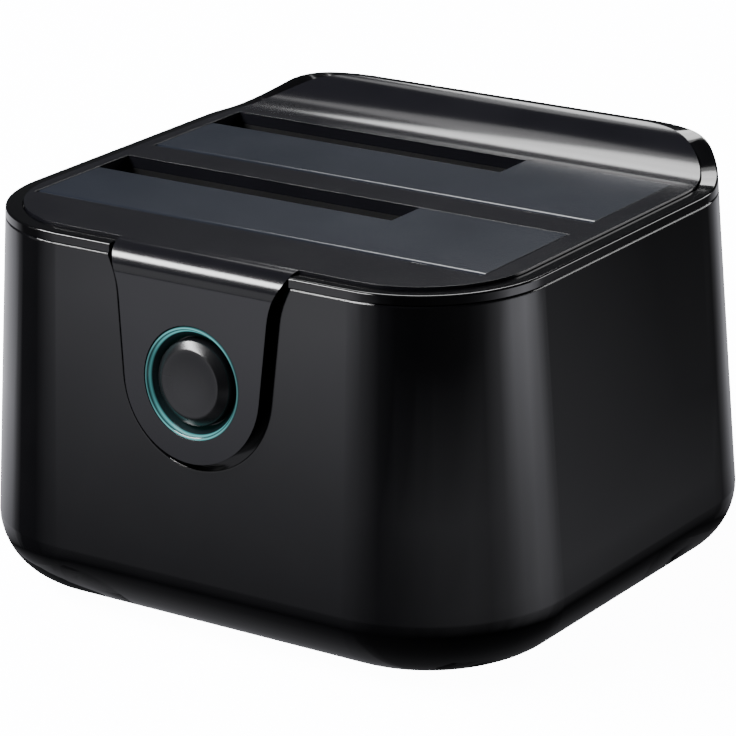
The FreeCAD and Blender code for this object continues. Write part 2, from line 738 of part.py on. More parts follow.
def guide_screws():
    """Four small screws that hold the guides' ears to the panel's bosses."""
    seat = Z_PANEL_LOW - BOSS_DROP - EAR_THICK
    screws = []
    for places in ear_places().values():
        for x, y in places:
            screw = hex_screw(SMALL_SCREW_RADIUS, BOSS_DROP, SMALL_HEAD_RADIUS, SMALL_HEAD)
            screw.translate(Vector(x, y, seat))
            screws.append(screw)
    return Part.makeCompound(screws)


# ---- Drive guides ----

def drive_guide(which):
    """Well that leads a drive down to its receptacle, with a pocket for the open flap."""
    rear = BAYS[which]
    drive_front = rear - BAY_LENGTH
    pocket_front = rear - HINGE_TO_REAR - RECESS
    step = drive_front - pocket_front
    pocket_low = Z_HINGE - HINGE_TO_REAR - TAB_REACH - POCKET_ROOM

    def side_view(wall, floor, top):
        return [
            (pocket_front - wall, top),
            (pocket_front - wall, pocket_low - wall * slope(45 / 2)),
            (drive_front - wall, pocket_low - wall * slope(45 / 2) - step),
            (drive_front - wall, Z_WELL_FLOOR - floor),
            (rear + wall, Z_WELL_FLOOR - floor),
            (rear + wall, top),
        ]

    outer = across(side_view(GUIDE_WALL, GUIDE_FLOOR, Z_PANEL_LOW), BAY_LEFT - GUIDE_WALL,
                   BAY_RIGHT + GUIDE_WALL)
    inner = across(side_view(0, 0, Z_TOP), BAY_LEFT, BAY_RIGHT)
    guide = outer.cut(inner)
    half_x = SATA_WIDTH / 2 + HOLE_CLEAR
    half_y = SATA_THICK / 2 + HOLE_CLEAR
    middle = rear - SATA_FROM_FACE
    guide = guide.cut(box(SATA_X - half_x, SATA_X + half_x, middle - half_y, middle + half_y, 0, Z_TOP))
    adds = []
    for x, y in post_places():
        if abs(y - (rear - BAY_LENGTH / 2)) < POST_SIZE:
            adds.append(square_post(x, y, Z_BOARD_TOP, Z_WELL_FLOOR - GUIDE_FLOOR / 2, POST_SIZE))
    ear_low = Z_PANEL_LOW - BOSS_DROP - EAR_THICK
    for x, y in ear_places()[which]:
        reach = EAR_SIZE / 2 + GUIDE_WALL / 2
        ear_front = y - (EAR_SIZE / 2 if which == "front" else reach)
        ear_rear = y + (reach if which == "front" else EAR_SIZE / 2)
        adds.append(box(x - EAR_SIZE / 2, x + EAR_SIZE / 2, ear_front, ear_rear, ear_low,
                        ear_low + EAR_THICK))
    saddle = PIN_RADIUS - SCREW_CLEAR
    y = rear - HINGE_TO_REAR
    for x_low in (BAY_LEFT - GUIDE_WALL, BAY_RIGHT + GUIDE_WALL - SADDLE_THICK):
        adds.append(box(x_low, x_low + SADDLE_THICK, y - saddle, y + saddle, Z_PANEL_LOW - SADDLE_ROOT,
                        Z_HINGE - PIN_RADIUS))
    guide = joined([guide] + adds).common(wall_block(0, Z_TOP, WALL + SEAM))
    for x, y in post_places():
        guide = guide.cut(post(x, y, 0, Z_WELL_FLOOR - GUIDE_FLOOR / 2, SCREW_RADIUS + SCREW_CLEAR))
    for x, y in ear_places()[which]:
        guide = guide.cut(post(x, y, 0, Z_PANEL_LOW, SMALL_SCREW_RADIUS + HOLE_CLEAR))
    for x in tab_places():
        half = TAB_WIDTH / 2 + FLAP_SIDE_GAP
        guide = guide.cut(box(x - half, x + half, rear - EDGE_BREAK, rear + 2 * GUIDE_WALL,
                              Z_PANEL_LOW - 4 * RECESS, Z_TOP))
    return guide


# ---- Flaps ----

def tab_places():
    """Stop tabs on the flap, to the right of the narrow slot."""
    return BAY_RIGHT - TAB_FROM_END, BAY_LEFT + SLOT_WIDTH + TAB_FROM_END


def spring_middle():
    return BAY_RIGHT - SPRING_FROM_END


def flap(which):
    """L-shaped dust door: plate, hinge barrel along its front edge, ribs and stop tabs."""
    rear = BAYS[which]
    hinge = rear - HINGE_TO_REAR
    left = BAY_LEFT + FLAP_SIDE_GAP
    right = BAY_RIGHT - FLAP_SIDE_GAP
    end = rear - FLAP_GAP
    notch_x = BAY_LEFT + SLOT_WIDTH
    notch_y = rear - SLOT_LENGTH
    plan = [(left, hinge), (right, hinge), (right, end), (notch_x, end), (notch_x, notch_y), (left, notch_y)]
    plate = prism(outline(plan), Z_TOP - FLAP_THICK, Z_TOP)
    barrel = rod(left, right, hinge, Z_HINGE, BARREL_RADIUS)
    ribs = []
    for index in range(RIB_COUNT):
        x = left + RIB_FROM_END + index * (notch_x - left) / RIB_COUNT
        ribs.append(box(x, x + RIB_WIDTH, hinge + BARREL_RADIUS + FLAP_GAP, notch_y - RIB_WIDTH,
                        Z_TOP - FLAP_THICK - RIB_DEPTH, Z_TOP - RIB_DEPTH))
    tab_top = Z_PANEL_LOW - EDGE_BREAK / 4
    for x in tab_places():
        half = TAB_WIDTH / 2
        ribs.append(box(x - half, x + half, end - TAB_ROOT, end + FLAP_GAP + TAB_REACH,
                        tab_top - TAB_THICK, tab_top))
        ribs.append(box(x - half, x + half, end - TAB_ROOT, end, tab_top - TAB_THICK, Z_TOP - TAB_THICK))
    door = joined([plate, barrel] + ribs)
    door = door.cut(rod(left - FAR, right + FAR, hinge, Z_HINGE, PIN_RADIUS + PIN_CLEAR))
    half = SPRING_ROOM / 2
    middle = spring_middle()
    room = box(middle - half, middle + half, hinge - 2 * BARREL_RADIUS, hinge + BARREL_RADIUS + FLAP_GAP,
               Z_HINGE - 2 * BARREL_RADIUS, Z_HINGE + BARREL_RADIUS - SPRING_SKIN)
    return door.cut(room)


def flap_pin(which):
    reach = PIN_SEAT - SEAM
    return rod(BAY_LEFT - reach, BAY_RIGHT + reach, BAYS[which] - HINGE_TO_REAR, Z_HINGE, PIN_RADIUS)


def flap_spring(which):
    """Torsion spring round the pin: one leg under the flap, one on the wall of the flap's pocket."""
    mean = PIN_RADIUS + SPRING_WIRE / 2 + PIN_CLEAR
    pitch = SPRING_PITCH
    start = math.radians(SPRING_LEG_ANGLE)
    length = (SPRING_TURNS + (90 - SPRING_LEG_ANGLE) / 360) * pitch
    half = SPRING_WIRE / 2
    corners = []
    for x, z in rect(mean - half, mean + half, -half, half):
        corners.append(Vector(x, 0, z))
    section = Part.makePolygon(corners + corners[:1])
    coil = Part.Wire(Part.makeHelix(pitch, length, mean)).makePipeShell([section], True, True)
    reach = (mean * math.cos(start) + RECESS - SEAM) / math.sin(start)
    coil = coil.fuse(box(mean - half, mean + half, -reach, 0, -half, half))
    coil.rotate(Vector(), Vector(0, 0, 1), -SPRING_LEG_ANGLE)
    leg = box(0, SPRING_LEG, -mean - half, -mean + half, length - half, length + half)
    spring = joined([coil, leg])
    middle = Vector(spring_middle() - length / 2, BAYS[which] - HINGE_TO_REAR, Z_HINGE)
    spring.Placement = Placement(middle, ACROSS)
    return spring


# ---- Board and what stands on it ----

def board_reach():
    """Half width of the board and how far it goes to the front and, beside its tail, to the rear."""
    return flat_reach(BOARD_MARGIN_X)[0], flat_reach(BOARD_MARGIN_Y)[1]


def main_board():
    """T-shaped board: its tail carries the sockets in the rear wall."""
    half, deep = board_reach()
    tail_half = SWITCH_X + ROCKER_WIDTH / 2 + SWITCH_RIM + BOARD_TAIL_MARGIN
    tail = port_face() - PORT_RECESS
    corners = [
        (-half, -deep),
        (half, -deep),
        (half, deep),
        (tail_half, deep),
        (tail_half, tail),
        (-tail_half, tail),
        (-tail_half, deep),
        (-half, deep),
    ]
    board = prism(outline(corners), Z_BOARD, Z_BOARD_TOP)
    for x, y in post_places():
        board = board.cut(post(x, y, 0, Z_TOP, SCREW_RADIUS + HOLE_CLEAR))
    return board


def sata_layout():
    """Left edges and pin counts of the two pockets, power first, from the receptacle's middle."""
    power_left = -(SATA_POWER + SATA_RIB + SATA_SIGNAL) / 2
    signal_left = power_left + SATA_POWER + SATA_RIB
    return (power_left, SATA_POWER, POWER_WAY_COUNT), (signal_left, SATA_SIGNAL, SIGNAL_WAY_COUNT)


def sata_connector(which):
    """Upright 22-way receptacle: housing with two L-shaped pockets and lead-in posts at its ends."""
    middle = BAYS[which] - SATA_FROM_FACE
    top = Z_WELL_FLOOR + SATA_ABOVE_FLOOR
    side = [
        (middle - SATA_THICK / 2, Z_BOARD_TOP),
        (middle + SATA_THICK / 2, Z_BOARD_TOP),
        (middle + SATA_THICK / 2, top),
        (middle - SATA_THICK / 2, top),
    ]
    housing = across(side, SATA_X - SATA_WIDTH / 2, SATA_X + SATA_WIDTH / 2)
    ends = edges_where(housing, lambda e: e.BoundBox.ZMin > top - EDGE_BREAK
                       and e.BoundBox.XLength < EDGE_BREAK)
    housing = housing.makeChamfer(2 * EDGE_BREAK, ends)
    half = SATA_SLOT / 2
    for left, width, _ in sata_layout():
        x = SATA_X + left
        housing = housing.cut(box(x, x + width, middle - half, middle + half, top - SATA_POCKET, top))
        housing = housing.cut(box(x, x + half, middle - half - SATA_KEY, middle, top - SATA_POCKET, top))
    return housing


def sata_contacts(which):
    """One leaf for each way, lying on the rear face of its pocket."""
    rear_face = BAYS[which] - SATA_FROM_FACE + SATA_SLOT / 2
    top = Z_WELL_FLOOR + SATA_ABOVE_FLOOR
    leaves = []
    for left, width, pins in sata_layout():
        start = SATA_X + left + width / 2 - (pins - 1) * SATA_PITCH / 2
        for index in range(pins):
            x = start + index * SATA_PITCH
            leaves.append(box(x - CONTACT_WIDTH / 2, x + CONTACT_WIDTH / 2, rear_face - CONTACT_THICK,
                              rear_face, top - SATA_POCKET, top - CONTACT_WIDTH))
    return Part.makeCompound(leaves)


def controller_chips():
    """Bridge, duplicator and memory chips on the board in front of and between the receptacles."""
    chips = []
    for x, y, size, tall in CHIPS:
        half = size / 2
        chips.append(box(x - half, x + half, y - half, y + half, Z_BOARD_TOP, Z_BOARD_TOP + tall))
    return Part.makeCompound(chips)


def board_capacitors():
    """Can capacitors in a row in front of the power socket."""
    y = port_face() - JACK_DEPTH - CAN_GAP - CAN_RADIUS
    cans = []
    for index in range(CAN_COUNT):
        x = CAN_X + index * CAN_PITCH
        cans.append(post(x, y, Z_BOARD_TOP, Z_BOARD_TOP + CAN_HEIGHT, CAN_RADIUS))
    return Part.makeCompound(cans)


def power_inductors():
    """Two shielded inductors of the voltage converters."""
    half = INDUCTOR_SIZE / 2
    blocks = []
    for y in INDUCTOR_Y:
        block = prism(outline(rect(INDUCTOR_X - half, INDUCTOR_X + half, y - half, y + half)), Z_BOARD_TOP,
                      Z_BOARD_TOP + INDUCTOR_HEIGHT)
        upright = edges_where(block, lambda e: e.BoundBox.ZLength > INDUCTOR_HEIGHT - EDGE_BREAK)
        blocks.append(block.makeChamfer(INDUCTOR_BEVEL, upright))
    return Part.makeCompound(blocks)


# ---- Rear sockets ----

def usb_port_shell():
    """Folded steel shell of the stepped type B socket."""
    view = port_views()[0]
    face = port_face()
    shell = facing(view, face - USB_DEPTH, face)
    return shell.cut(facing(grown(view, -USB_SHELL), 0, FAR))


def usb_port_insert():
    """Insulator: back block and the two tongues in the mouth."""
    face = port_face()
    view = port_views()[0]
    back = facing(grown(view, -USB_SHELL - SCREW_CLEAR), face - USB_DEPTH, face - USB_MOUTH)
    tongues = []
    for middle, thick in ((Z_BOARD_TOP + USB_LOW / 2, USB_TONGUE_LOW), (usb_high_middle(), USB_TONGUE_HIGH)):
        tongues.append(box(USB_X - USB_TONGUE_HALF, USB_X + USB_TONGUE_HALF, face - USB_MOUTH - USB_SHELL,
                           face - USB_TONGUE_BACK, middle - thick / 2, middle + thick / 2))
    return joined([back] + tongues)


def usb_contacts():
    """Leaves on the tongues: two on each face of the lower one, five on top of the upper one."""
    rows = (
        (2, USB_LEAF_PITCH_LOW, Z_BOARD_TOP + (USB_LOW + USB_TONGUE_LOW) / 2),
        (2, USB_LEAF_PITCH_LOW, Z_BOARD_TOP + (USB_LOW - USB_TONGUE_LOW) / 2 - USB_LEAF_THICK),
        (5, USB_LEAF_PITCH_HIGH, usb_high_middle() + USB_TONGUE_HIGH / 2),
    )
    face = port_face()
    leaves = []
    for count, pitch, z in rows:
        for index in range(count):
            x = USB_X + (index - (count - 1) / 2) * pitch
            leaves.append(box(x - USB_LEAF_WIDTH / 2, x + USB_LEAF_WIDTH / 2, face - USB_MOUTH,
                              face - USB_TONGUE_BACK - USB_LEAF_BACK, z, z + USB_LEAF_THICK))
    return Part.makeCompound(leaves)


def usb_high_middle():
    """Height of the middle of the upper, SuperSpeed tongue."""
    return Z_BOARD_TOP + USB_LOW + USB_TOP / 2 - USB_SHELL


def dc_jack_body():
    """Moulded block with the round mouth of a 5.5 mm barrel plug."""
    face = port_face()
    view = port_views()[1]
    block = facing(view, face - JACK_DEPTH, face)
    middle = Z_BOARD_TOP + JACK_HEIGHT / 2
    start = Vector(JACK_X, face - JACK_MOUTH, middle)
    return block.cut(Part.makeCylinder(JACK_BORE, JACK_MOUTH, start, Vector(0, 1, 0)))


def dc_jack_pin():
    face = port_face()
    middle = Z_BOARD_TOP + JACK_HEIGHT / 2
    length = JACK_MOUTH - JACK_PIN
    pin = Part.makeCylinder(JACK_PIN, length, Vector(JACK_X, face - JACK_MOUTH, middle), Vector(0, 1, 0))
    return pin.makeChamfer(JACK_PIN / 2, edges_where(pin, lambda e: e.BoundBox.YMin > face - 2 * JACK_PIN))


def rocker_middle():
    """Height of the rocker's axle."""
    return Z_BOARD_TOP + SWITCH_RIM + ROCKER_HALF


def power_switch_body():
    face = port_face()
    view = port_views()[2]
    body = facing(view, face - SWITCH_DEPTH, face)
    body = body.cut(facing(grown(view, ROCKER_GAP - SWITCH_RIM), face - SWITCH_POCKET, FAR))
    reach = ROCKER_WIDTH / 2 + ROCKER_AXLE_END + PIN_CLEAR
    bore = ROCKER_AXLE + PIN_CLEAR
    return body.cut(rod(SWITCH_X - reach, SWITCH_X + reach, face - ROCKER_PIVOT, rocker_middle(), bore))


def power_rocker():
    """Rocker with a shallow valley, tipped to its off side."""
    half = ROCKER_WIDTH / 2
    corners = [
        (ROCKER_END, -ROCKER_HALF),
        (ROCKER_VALLEY, 0),
        (ROCKER_END, ROCKER_HALF),
        (-ROCKER_BELLY, ROCKER_BELLY_HALF),
        (-ROCKER_BELLY, -ROCKER_BELLY_HALF),
    ]
    body = across(corners, -half, half)
    axle = rod(-half - ROCKER_AXLE_END, half + ROCKER_AXLE_END, 0, 0, ROCKER_AXLE)
    rocker = joined([body, axle])
    rocker.rotate(Vector(), Vector(1, 0, 0), ROCKER_TILT)
    rocker.translate(Vector(SWITCH_X, port_face() - ROCKER_PIVOT, rocker_middle()))
    return rocker


# ---- Start button: all drawn about its own axis, then put on the tongue ----

def button_board_top():
    return STEM_DEPTH + PLUNGER_OUT + SWITCH_HEIGHT


def light_ring():
    """Clear ring: visible annulus, lip that keeps the cap, flange and collar that lead the light in."""
    back = -tongue_back() - RING_GAP
    collar_low = -(button_board_top() - LED_HEIGHT - EDGE_BREAK)
    room = CAP_RADIUS + CAP_FLANGE + RING_ROOM
    return on_tongue(turned([
        (RING_BORE, 0),
        (RING_BORE, -RING_LIP),
        (room, -RING_LIP),
        (room, collar_low),
        (RING_RADIUS + RING_FLANGE, collar_low),
        (RING_RADIUS + RING_FLANGE, back),
        (RING_RADIUS, back),
        (RING_RADIUS, 0),
    ]))


def button_cap():
    """Round bevelled cap, hollow behind, with a flange behind the ring's lip and a stem."""
    drop = CAP_RADIUS - CAP_FACE_RADIUS
    flange_top = -RING_LIP - RING_GAP
    ceiling = CAP_PROUD - CAP_WALL
    return on_tongue(turned([
        (0, CAP_PROUD),
        (CAP_FACE_RADIUS, CAP_PROUD),
        (CAP_RADIUS, CAP_PROUD - drop),
        (CAP_RADIUS, flange_top),
        (CAP_RADIUS + CAP_FLANGE, flange_top),
        (CAP_RADIUS + CAP_FLANGE, -CAP_LENGTH),
        (CAP_RADIUS - CAP_WALL, -CAP_LENGTH),
        (CAP_RADIUS - CAP_WALL, ceiling),
        (STEM_RADIUS, ceiling),
        (STEM_RADIUS, -STEM_DEPTH),
        (0, -STEM_DEPTH),
    ]))


def switch_plunger():
    return on_tongue(post(0, 0, -STEM_DEPTH - PLUNGER_OUT - PLUNGER_IN, -STEM_DEPTH, SWITCH_PLUNGER))


def button_switch():
    """Tactile switch on the small board."""
    half = SWITCH_BODY / 2
    top = -STEM_DEPTH - PLUNGER_OUT
    body = box(-half, half, -half, half, top - SWITCH_HEIGHT, top)
    well = PLUNGER_IN + BUTTON_TRAVEL + PIN_CLEAR * 2
    return on_tongue(body.cut(post(0, 0, top - well, top, SWITCH_PLUNGER + PIN_CLEAR)))


def button_board():
    top = -button_board_top()
    corners = rect(-BUTTON_BOARD_X, BUTTON_BOARD_X, -BUTTON_BOARD_Y, BUTTON_BOARD_Y)
    board = prism(outline(corners), top - BOARD_THICK, top)
    for side in (-1, 1):
        board = board.cut(post(side * BUTTON_BOSS_X, 0, -FAR, 0, SMALL_SCREW_RADIUS + HOLE_CLEAR))
    return on_tongue(board)


def button_screws():
    screws = []
    for side in (-1, 1):
        screw = hex_screw(SMALL_SCREW_RADIUS, BOARD_THICK + BOSS_DROP, SMALL_HEAD_RADIUS, SMALL_HEAD)
        screw.translate(Vector(side * BUTTON_BOSS_X, 0, -button_board_top() - BOARD_THICK))
        screws.append(on_tongue(screw))
    return Part.makeCompound(screws)


def header_deep():
    """Depth below the tongue's face of the middle of the header on the small board's rear."""
    return button_board_top() + BOARD_THICK + HEADER_LOW / 2


def cable_path():
    """Side view (y, z) of the cable's middle, from the main board up to the button's board."""
    y = HEADER_FROM_EDGE - board_reach()[1]
    top = Z_BOARD_TOP + HEADER_HEIGHT
    place = Placement(Vector(0, face_line(Z_BUTTON, -TONGUE_PROUD), Z_BUTTON), BUTTON_TURN)
    low = HEADER_FROM_EDGE + HEADER_DEEP / 2 - CABLE_GRIP - BUTTON_BOARD_Y - HEADER_DEEP
    path = [(y, top - CABLE_GRIP), (y, top + CABLE_STRAIGHT)]
    for up in (low - CABLE_STRAIGHT, low + 2 * CABLE_GRIP):
        spot = place.multVec(Vector(0, up, -header_deep()))
        path.append((spot.y, spot.z))
    return path


def button_cable():
    """Flat cable between the two boards."""
    half = CABLE_THICK / 2
    path = cable_path()
    corners = [(y - half, z) for y, z in path] + [(y + half, z) for y, z in reversed(path)]
    return across(corners, -CABLE_WIDTH / 2, CABLE_WIDTH / 2)


def cable_headers():
    """Sockets of the flat cable, one on each board, each with a mouth for its end."""
    half = HEADER_WIDTH / 2
    y = cable_path()[0][0]
    low = box(-half, half, y - HEADER_DEEP / 2, y + HEADER_DEEP / 2, Z_BOARD_TOP, Z_BOARD_TOP + HEADER_HEIGHT)
    up = HEADER_FROM_EDGE - BUTTON_BOARD_Y
    middle = header_deep()
    high = on_tongue(box(-half, half, up - HEADER_DEEP / 2, up + HEADER_DEEP / 2, -middle - HEADER_LOW / 2,
                         HEADER_LOW / 2 - middle))
    room = CABLE_THICK / 2 + PIN_CLEAR
    path = cable_path()
    corners = [(y - room, z) for y, z in path] + [(y + room, z) for y, z in reversed(path)]
    mouth = across(corners, -CABLE_WIDTH / 2 - PIN_CLEAR, CABLE_WIDTH / 2 + PIN_CLEAR)
    return Part.makeCompound([low.cut(mouth), high.cut(mouth)])


def ring_leds():
    """Chip LEDs on the small board, under the ring's collar."""
    top = -button_board_top()
    radius = RING_RADIUS
    leds = []
    for index in range(LED_COUNT):
        led = box(radius - LED_WIDTH / 2, radius + LED_WIDTH / 2, -LED_LENGTH / 2, LED_LENGTH / 2, top,
                  top + LED_HEIGHT)
        led.rotate(Vector(), Vector(0, 0, 1), (index + 0.5) * 360 / LED_COUNT)
        leds.append(on_tongue(led))
    return Part.makeCompound(leds)


# ---- Whole object ----

def all_nodes():
    nodes = {
        "outer_shell": outer_shell(),
        "top_rim": top_rim(),
        "top_panel": top_panel(),
        "base_plate": base_plate(),
        "rubber_feet": rubber_feet(),
        "case_screws": case_screws(),
        "guide_screws": guide_screws(),
        "main_board": main_board(),
        "controller_chips": controller_chips(),
        "board_capacitors": board_capacitors(),
        "power_inductors": power_inductors(),
        "usb_port_shell": usb_port_shell(),
        "usb_port_insert": usb_port_insert(),
        "usb_contacts": usb_contacts(),
        "dc_jack_body": dc_jack_body(),
        "dc_jack_pin": dc_jack_pin(),
        "power_switch_body": power_switch_body(),
        "power_rocker": power_rocker(),
        "light_ring": light_ring(),
        "button_cap": button_cap(),
        "switch_plunger": switch_plunger(),
        "button_switch": button_switch(),
        "button_board": button_board(),
        "button_screws": button_screws(),
        "ring_leds": ring_leds(),
        "cable_headers": cable_headers(),
        "button_cable": button_cable(),
    }
    for which in BAYS:
        nodes[which + "_drive_guide"] = drive_guide(which)
        nodes[which + "_flap"] = flap(which)
        nodes[which + "_flap_pin"] = flap_pin(which)
        nodes[which + "_flap_spring"] = flap_spring(which)
        nodes[which + "_sata_connector"] = sata_connector(which)
        nodes[which + "_sata_contacts"] = sata_contacts(which)
    return nodes


def write_parts(nodes):
    """Centres the object on the origin along Y and writes one file for each node."""
    bounds = [shape.optimalBoundingBox(False, False) for shape in nodes.values()]
    front = min(bound.YMin for bound in bounds)
    rear = max(bound.YMax for bound in bounds)
    os.makedirs("parts", exist_ok=True)
    for name, shape in nodes.items():
        shape.translate(Vector(0, -(front + rear) / 2, 0))
        shape.exportStep("parts/" + name + ".step")


write_parts(all_nodes())
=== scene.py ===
import json
import logging
import math
from dataclasses import dataclass, field
from enum import Enum

import bpy
from mathutils import Matrix, Vector


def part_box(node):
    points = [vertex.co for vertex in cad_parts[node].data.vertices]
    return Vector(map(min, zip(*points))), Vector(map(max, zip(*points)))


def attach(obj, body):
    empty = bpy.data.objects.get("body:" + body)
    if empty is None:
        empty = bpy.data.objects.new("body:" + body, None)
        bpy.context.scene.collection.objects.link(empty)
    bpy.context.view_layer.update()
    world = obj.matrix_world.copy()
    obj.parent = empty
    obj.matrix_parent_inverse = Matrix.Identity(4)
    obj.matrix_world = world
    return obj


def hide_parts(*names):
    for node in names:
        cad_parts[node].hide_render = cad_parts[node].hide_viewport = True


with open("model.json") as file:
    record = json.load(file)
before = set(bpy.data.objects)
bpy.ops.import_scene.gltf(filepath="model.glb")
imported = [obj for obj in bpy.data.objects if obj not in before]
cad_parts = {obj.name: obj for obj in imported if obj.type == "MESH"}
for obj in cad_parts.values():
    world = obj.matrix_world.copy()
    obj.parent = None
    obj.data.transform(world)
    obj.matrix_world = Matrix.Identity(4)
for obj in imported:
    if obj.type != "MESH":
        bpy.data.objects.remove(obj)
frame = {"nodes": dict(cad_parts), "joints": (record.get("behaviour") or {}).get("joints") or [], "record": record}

LOG = logging.getLogger("drive_duplicator")
MM = 0.001


def linear(colour: str) -> tuple[float, float, float, float]:
    """Turns an sRGB hex colour into linear light.

    Args:
        colour: six hex digits after a hash sign.

    Returns:
        Linear red, green, blue and an alpha of one.
    """
    channels = []
    for start in (1, 3, 5):
        value = int(colour[start:start + 2], 16) / 255
        channels.append(value / 12.92 if value <= 0.04045 else ((value + 0.055) / 1.055) ** 2.4)
    return channels[0], channels[1], channels[2], 1.0


def add_node(tree: bpy.types.NodeTree, kind: str, settings: dict | None = None,
             links: dict | None = None) -> bpy.types.Node:
    """Adds one node with its settings and links.

    Args:
        tree: the node tree that takes it.
        kind: Blender's identifier of the node type.
        settings: socket values by name or number, other values by property name, ramp stops as "stops".
        links: output sockets to join, by the name or number of the input.

    Returns:
        The node.
    """
    node = tree.nodes.new(kind)
    for name, value in (settings or {}).items():
        if name == "stops":
            ramp = node.color_ramp
            while len(ramp.elements) < len(value):
                ramp.elements.new(0.5)
            for element, (place, colour) in zip(ramp.elements, value):
                element.position = place
                element.color = colour
        elif isinstance(name, int) or name in node.inputs:
            node.inputs[name].default_value = value
        else:
            setattr(node, name, value)
    for name, output in (links or {}).items():
        tree.links.new(output, node.inputs[name])
    return node


def add_mesh(name: str, verts: list, faces: list, sharp: float | None = None) -> bpy.types.Object:
    """Makes a mesh object in the scene.

    Args:
        name: name of the mesh and of the object.
        verts: corners in metres.
        faces: numbers of each face's corners.
        sharp: smooths the faces but keeps edges over this angle, in degrees, sharp; None leaves them flat.

    Returns:
        The object.
    """
    mesh = bpy.data.meshes.new(name)
    mesh.from_pydata([tuple(vert) for vert in verts], [], faces)
    if sharp is not None:
        mesh.validate()
        mesh.polygons.foreach_set("use_smooth", [True] * len(mesh.polygons))
        mesh.set_sharp_from_angle(angle=math.radians(sharp))
    made = bpy.data.objects.new(name, mesh)
    bpy.context.scene.collection.objects.link(made)
    return made


def new_tree(name: str) -> tuple[bpy.types.Material, bpy.types.NodeTree]:
    """Makes a material with an empty node tree.

    Args:
        name: name of the material.

    Returns:
        The material and its tree.
    """
    made = bpy.data.materials.new(name)
    made.use_nodes = True
    made.node_tree.nodes.clear()
    return made, made.node_tree


# ---- Finishes ----

@dataclass(frozen=True)
class Finish:
    """A surface as its maker leaves it: colour, gloss and a fine relief."""

    name: str
    colour: str
    roughness: float
    shade: str = ""             # second colour that the surface drifts to
    ior: float = 1.5
    metallic: float = 0.0
    uneven: float = 0.06        # drift of the roughness
    uneven_mm: float = 14.0
    grain_mm: float = 0.6
    relief_mm: float = 0.004
    edge_mm: float = 0.0        # radius that the tool leaves on the edges

    def height(self, tree: bpy.types.NodeTree, place: bpy.types.NodeSocket) -> bpy.types.NodeSocket:
        """Relief of the surface.

        Args:
            tree: the material's node tree.
            place: object coordinates in metres.

        Returns:
            A height from nought to one.
        """
        settings = {"Scale": 1 / (self.grain_mm * MM), "Detail": 3.0, "Roughness": 0.55}
        return add_node(tree, "ShaderNodeTexNoise", settings, {"Vector": place}).outputs["Fac"]

    def tint(self, tree: bpy.types.NodeTree, place: bpy.types.NodeSocket,
             drift: bpy.types.NodeSocket) -> bpy.types.NodeSocket:
        """Colour over the surface.

        Args:
            tree: the material's node tree.
            place: object coordinates in metres.
            drift: slow noise from nought to one.

        Returns:
            The colour's socket.
        """
        stops = [(0.3, linear(self.colour)), (0.7, linear(self.shade or self.colour))]
        return add_node(tree, "ShaderNodeValToRGB", {"stops": stops}, {"Fac": drift}).outputs["Color"]

    def extra(self, tree: bpy.types.NodeTree, place: bpy.types.NodeSocket, shader: bpy.types.Node) -> None:
        """Adds what only this finish has; a plain finish adds nothing."""

    def material(self) -> bpy.types.Material:
        """Builds the material.

        Returns:
            The material, named for the finish.
        """
        made, tree = new_tree(self.name)
        place = add_node(tree, "ShaderNodeTexCoord").outputs["Object"]
        settings = {"Scale": 1 / (self.uneven_mm * MM), "Detail": 2.0}
        drift = add_node(tree, "ShaderNodeTexNoise", settings, {"Vector": place}).outputs["Fac"]
        gloss = add_node(tree, "ShaderNodeMapRange",
                         {"From Min": 0.25, "From Max": 0.75, "To Min": self.roughness * (1 - self.uneven),
                          "To Max": self.roughness * (1 + self.uneven)}, {"Value": drift}).outputs["Result"]
        edges = {}
        if self.edge_mm:
            bevel = add_node(tree, "ShaderNodeBevel", {"samples": 8, "Radius": self.edge_mm * MM})
            edges["Normal"] = bevel.outputs["Normal"]
        bump = add_node(tree, "ShaderNodeBump", {"Strength": 1.0, "Distance": self.relief_mm * MM},
                        {"Height": self.height(tree, place), **edges})
        shader = add_node(tree, "ShaderNodeBsdfPrincipled", {"IOR": self.ior, "Metallic": self.metallic},
                          {"Base Color": self.tint(tree, place, drift), "Roughness": gloss,
                           "Normal": bump.outputs["Normal"]})
        self.extra(tree, place, shader)
        add_node(tree, "ShaderNodeOutputMaterial", {}, {"Surface": shader.outputs["BSDF"]})
        return made


@dataclass(frozen=True)
class PolishedAbs(Finish):
    """ABS shot against a mirror-polished steel tool: deep gloss with a trace of long flow waves."""

    def height(self, tree: bpy.types.NodeTree, place: bpy.types.NodeSocket) -> bpy.types.NodeSocket:
        """Slow swell left by the flow of the melt, as a height from nought to one."""
        settings = {"Scale": 1 / (self.grain_mm * MM), "Detail": 0.0}
        return add_node(tree, "ShaderNodeTexNoise", settings, {"Vector": place}).outputs["Fac"]


@dataclass(frozen=True)
class SparkErodedAbs(Finish):
    """ABS shot against a spark-eroded tool: fine round pits that spread the light.

    The real pits are about 0.05 mm; they are drawn coarser so that they still show.
    """

    def height(self, tree: bpy.types.NodeTree, place: bpy.types.NodeSocket) -> bpy.types.NodeSocket:
        """Pits of the eroded tool, as a height from nought to one."""
        settings = {"Scale": 1 / (self.grain_mm * MM)}
        cells = add_node(tree, "ShaderNodeTexVoronoi", settings, {"Vector": place}).outputs["Distance"]
        fine = super().height(tree, place)
        pits = add_node(tree, "ShaderNodeMath", {"operation": "MULTIPLY"}, {0: cells, 1: fine})
        return pits.outputs["Value"]


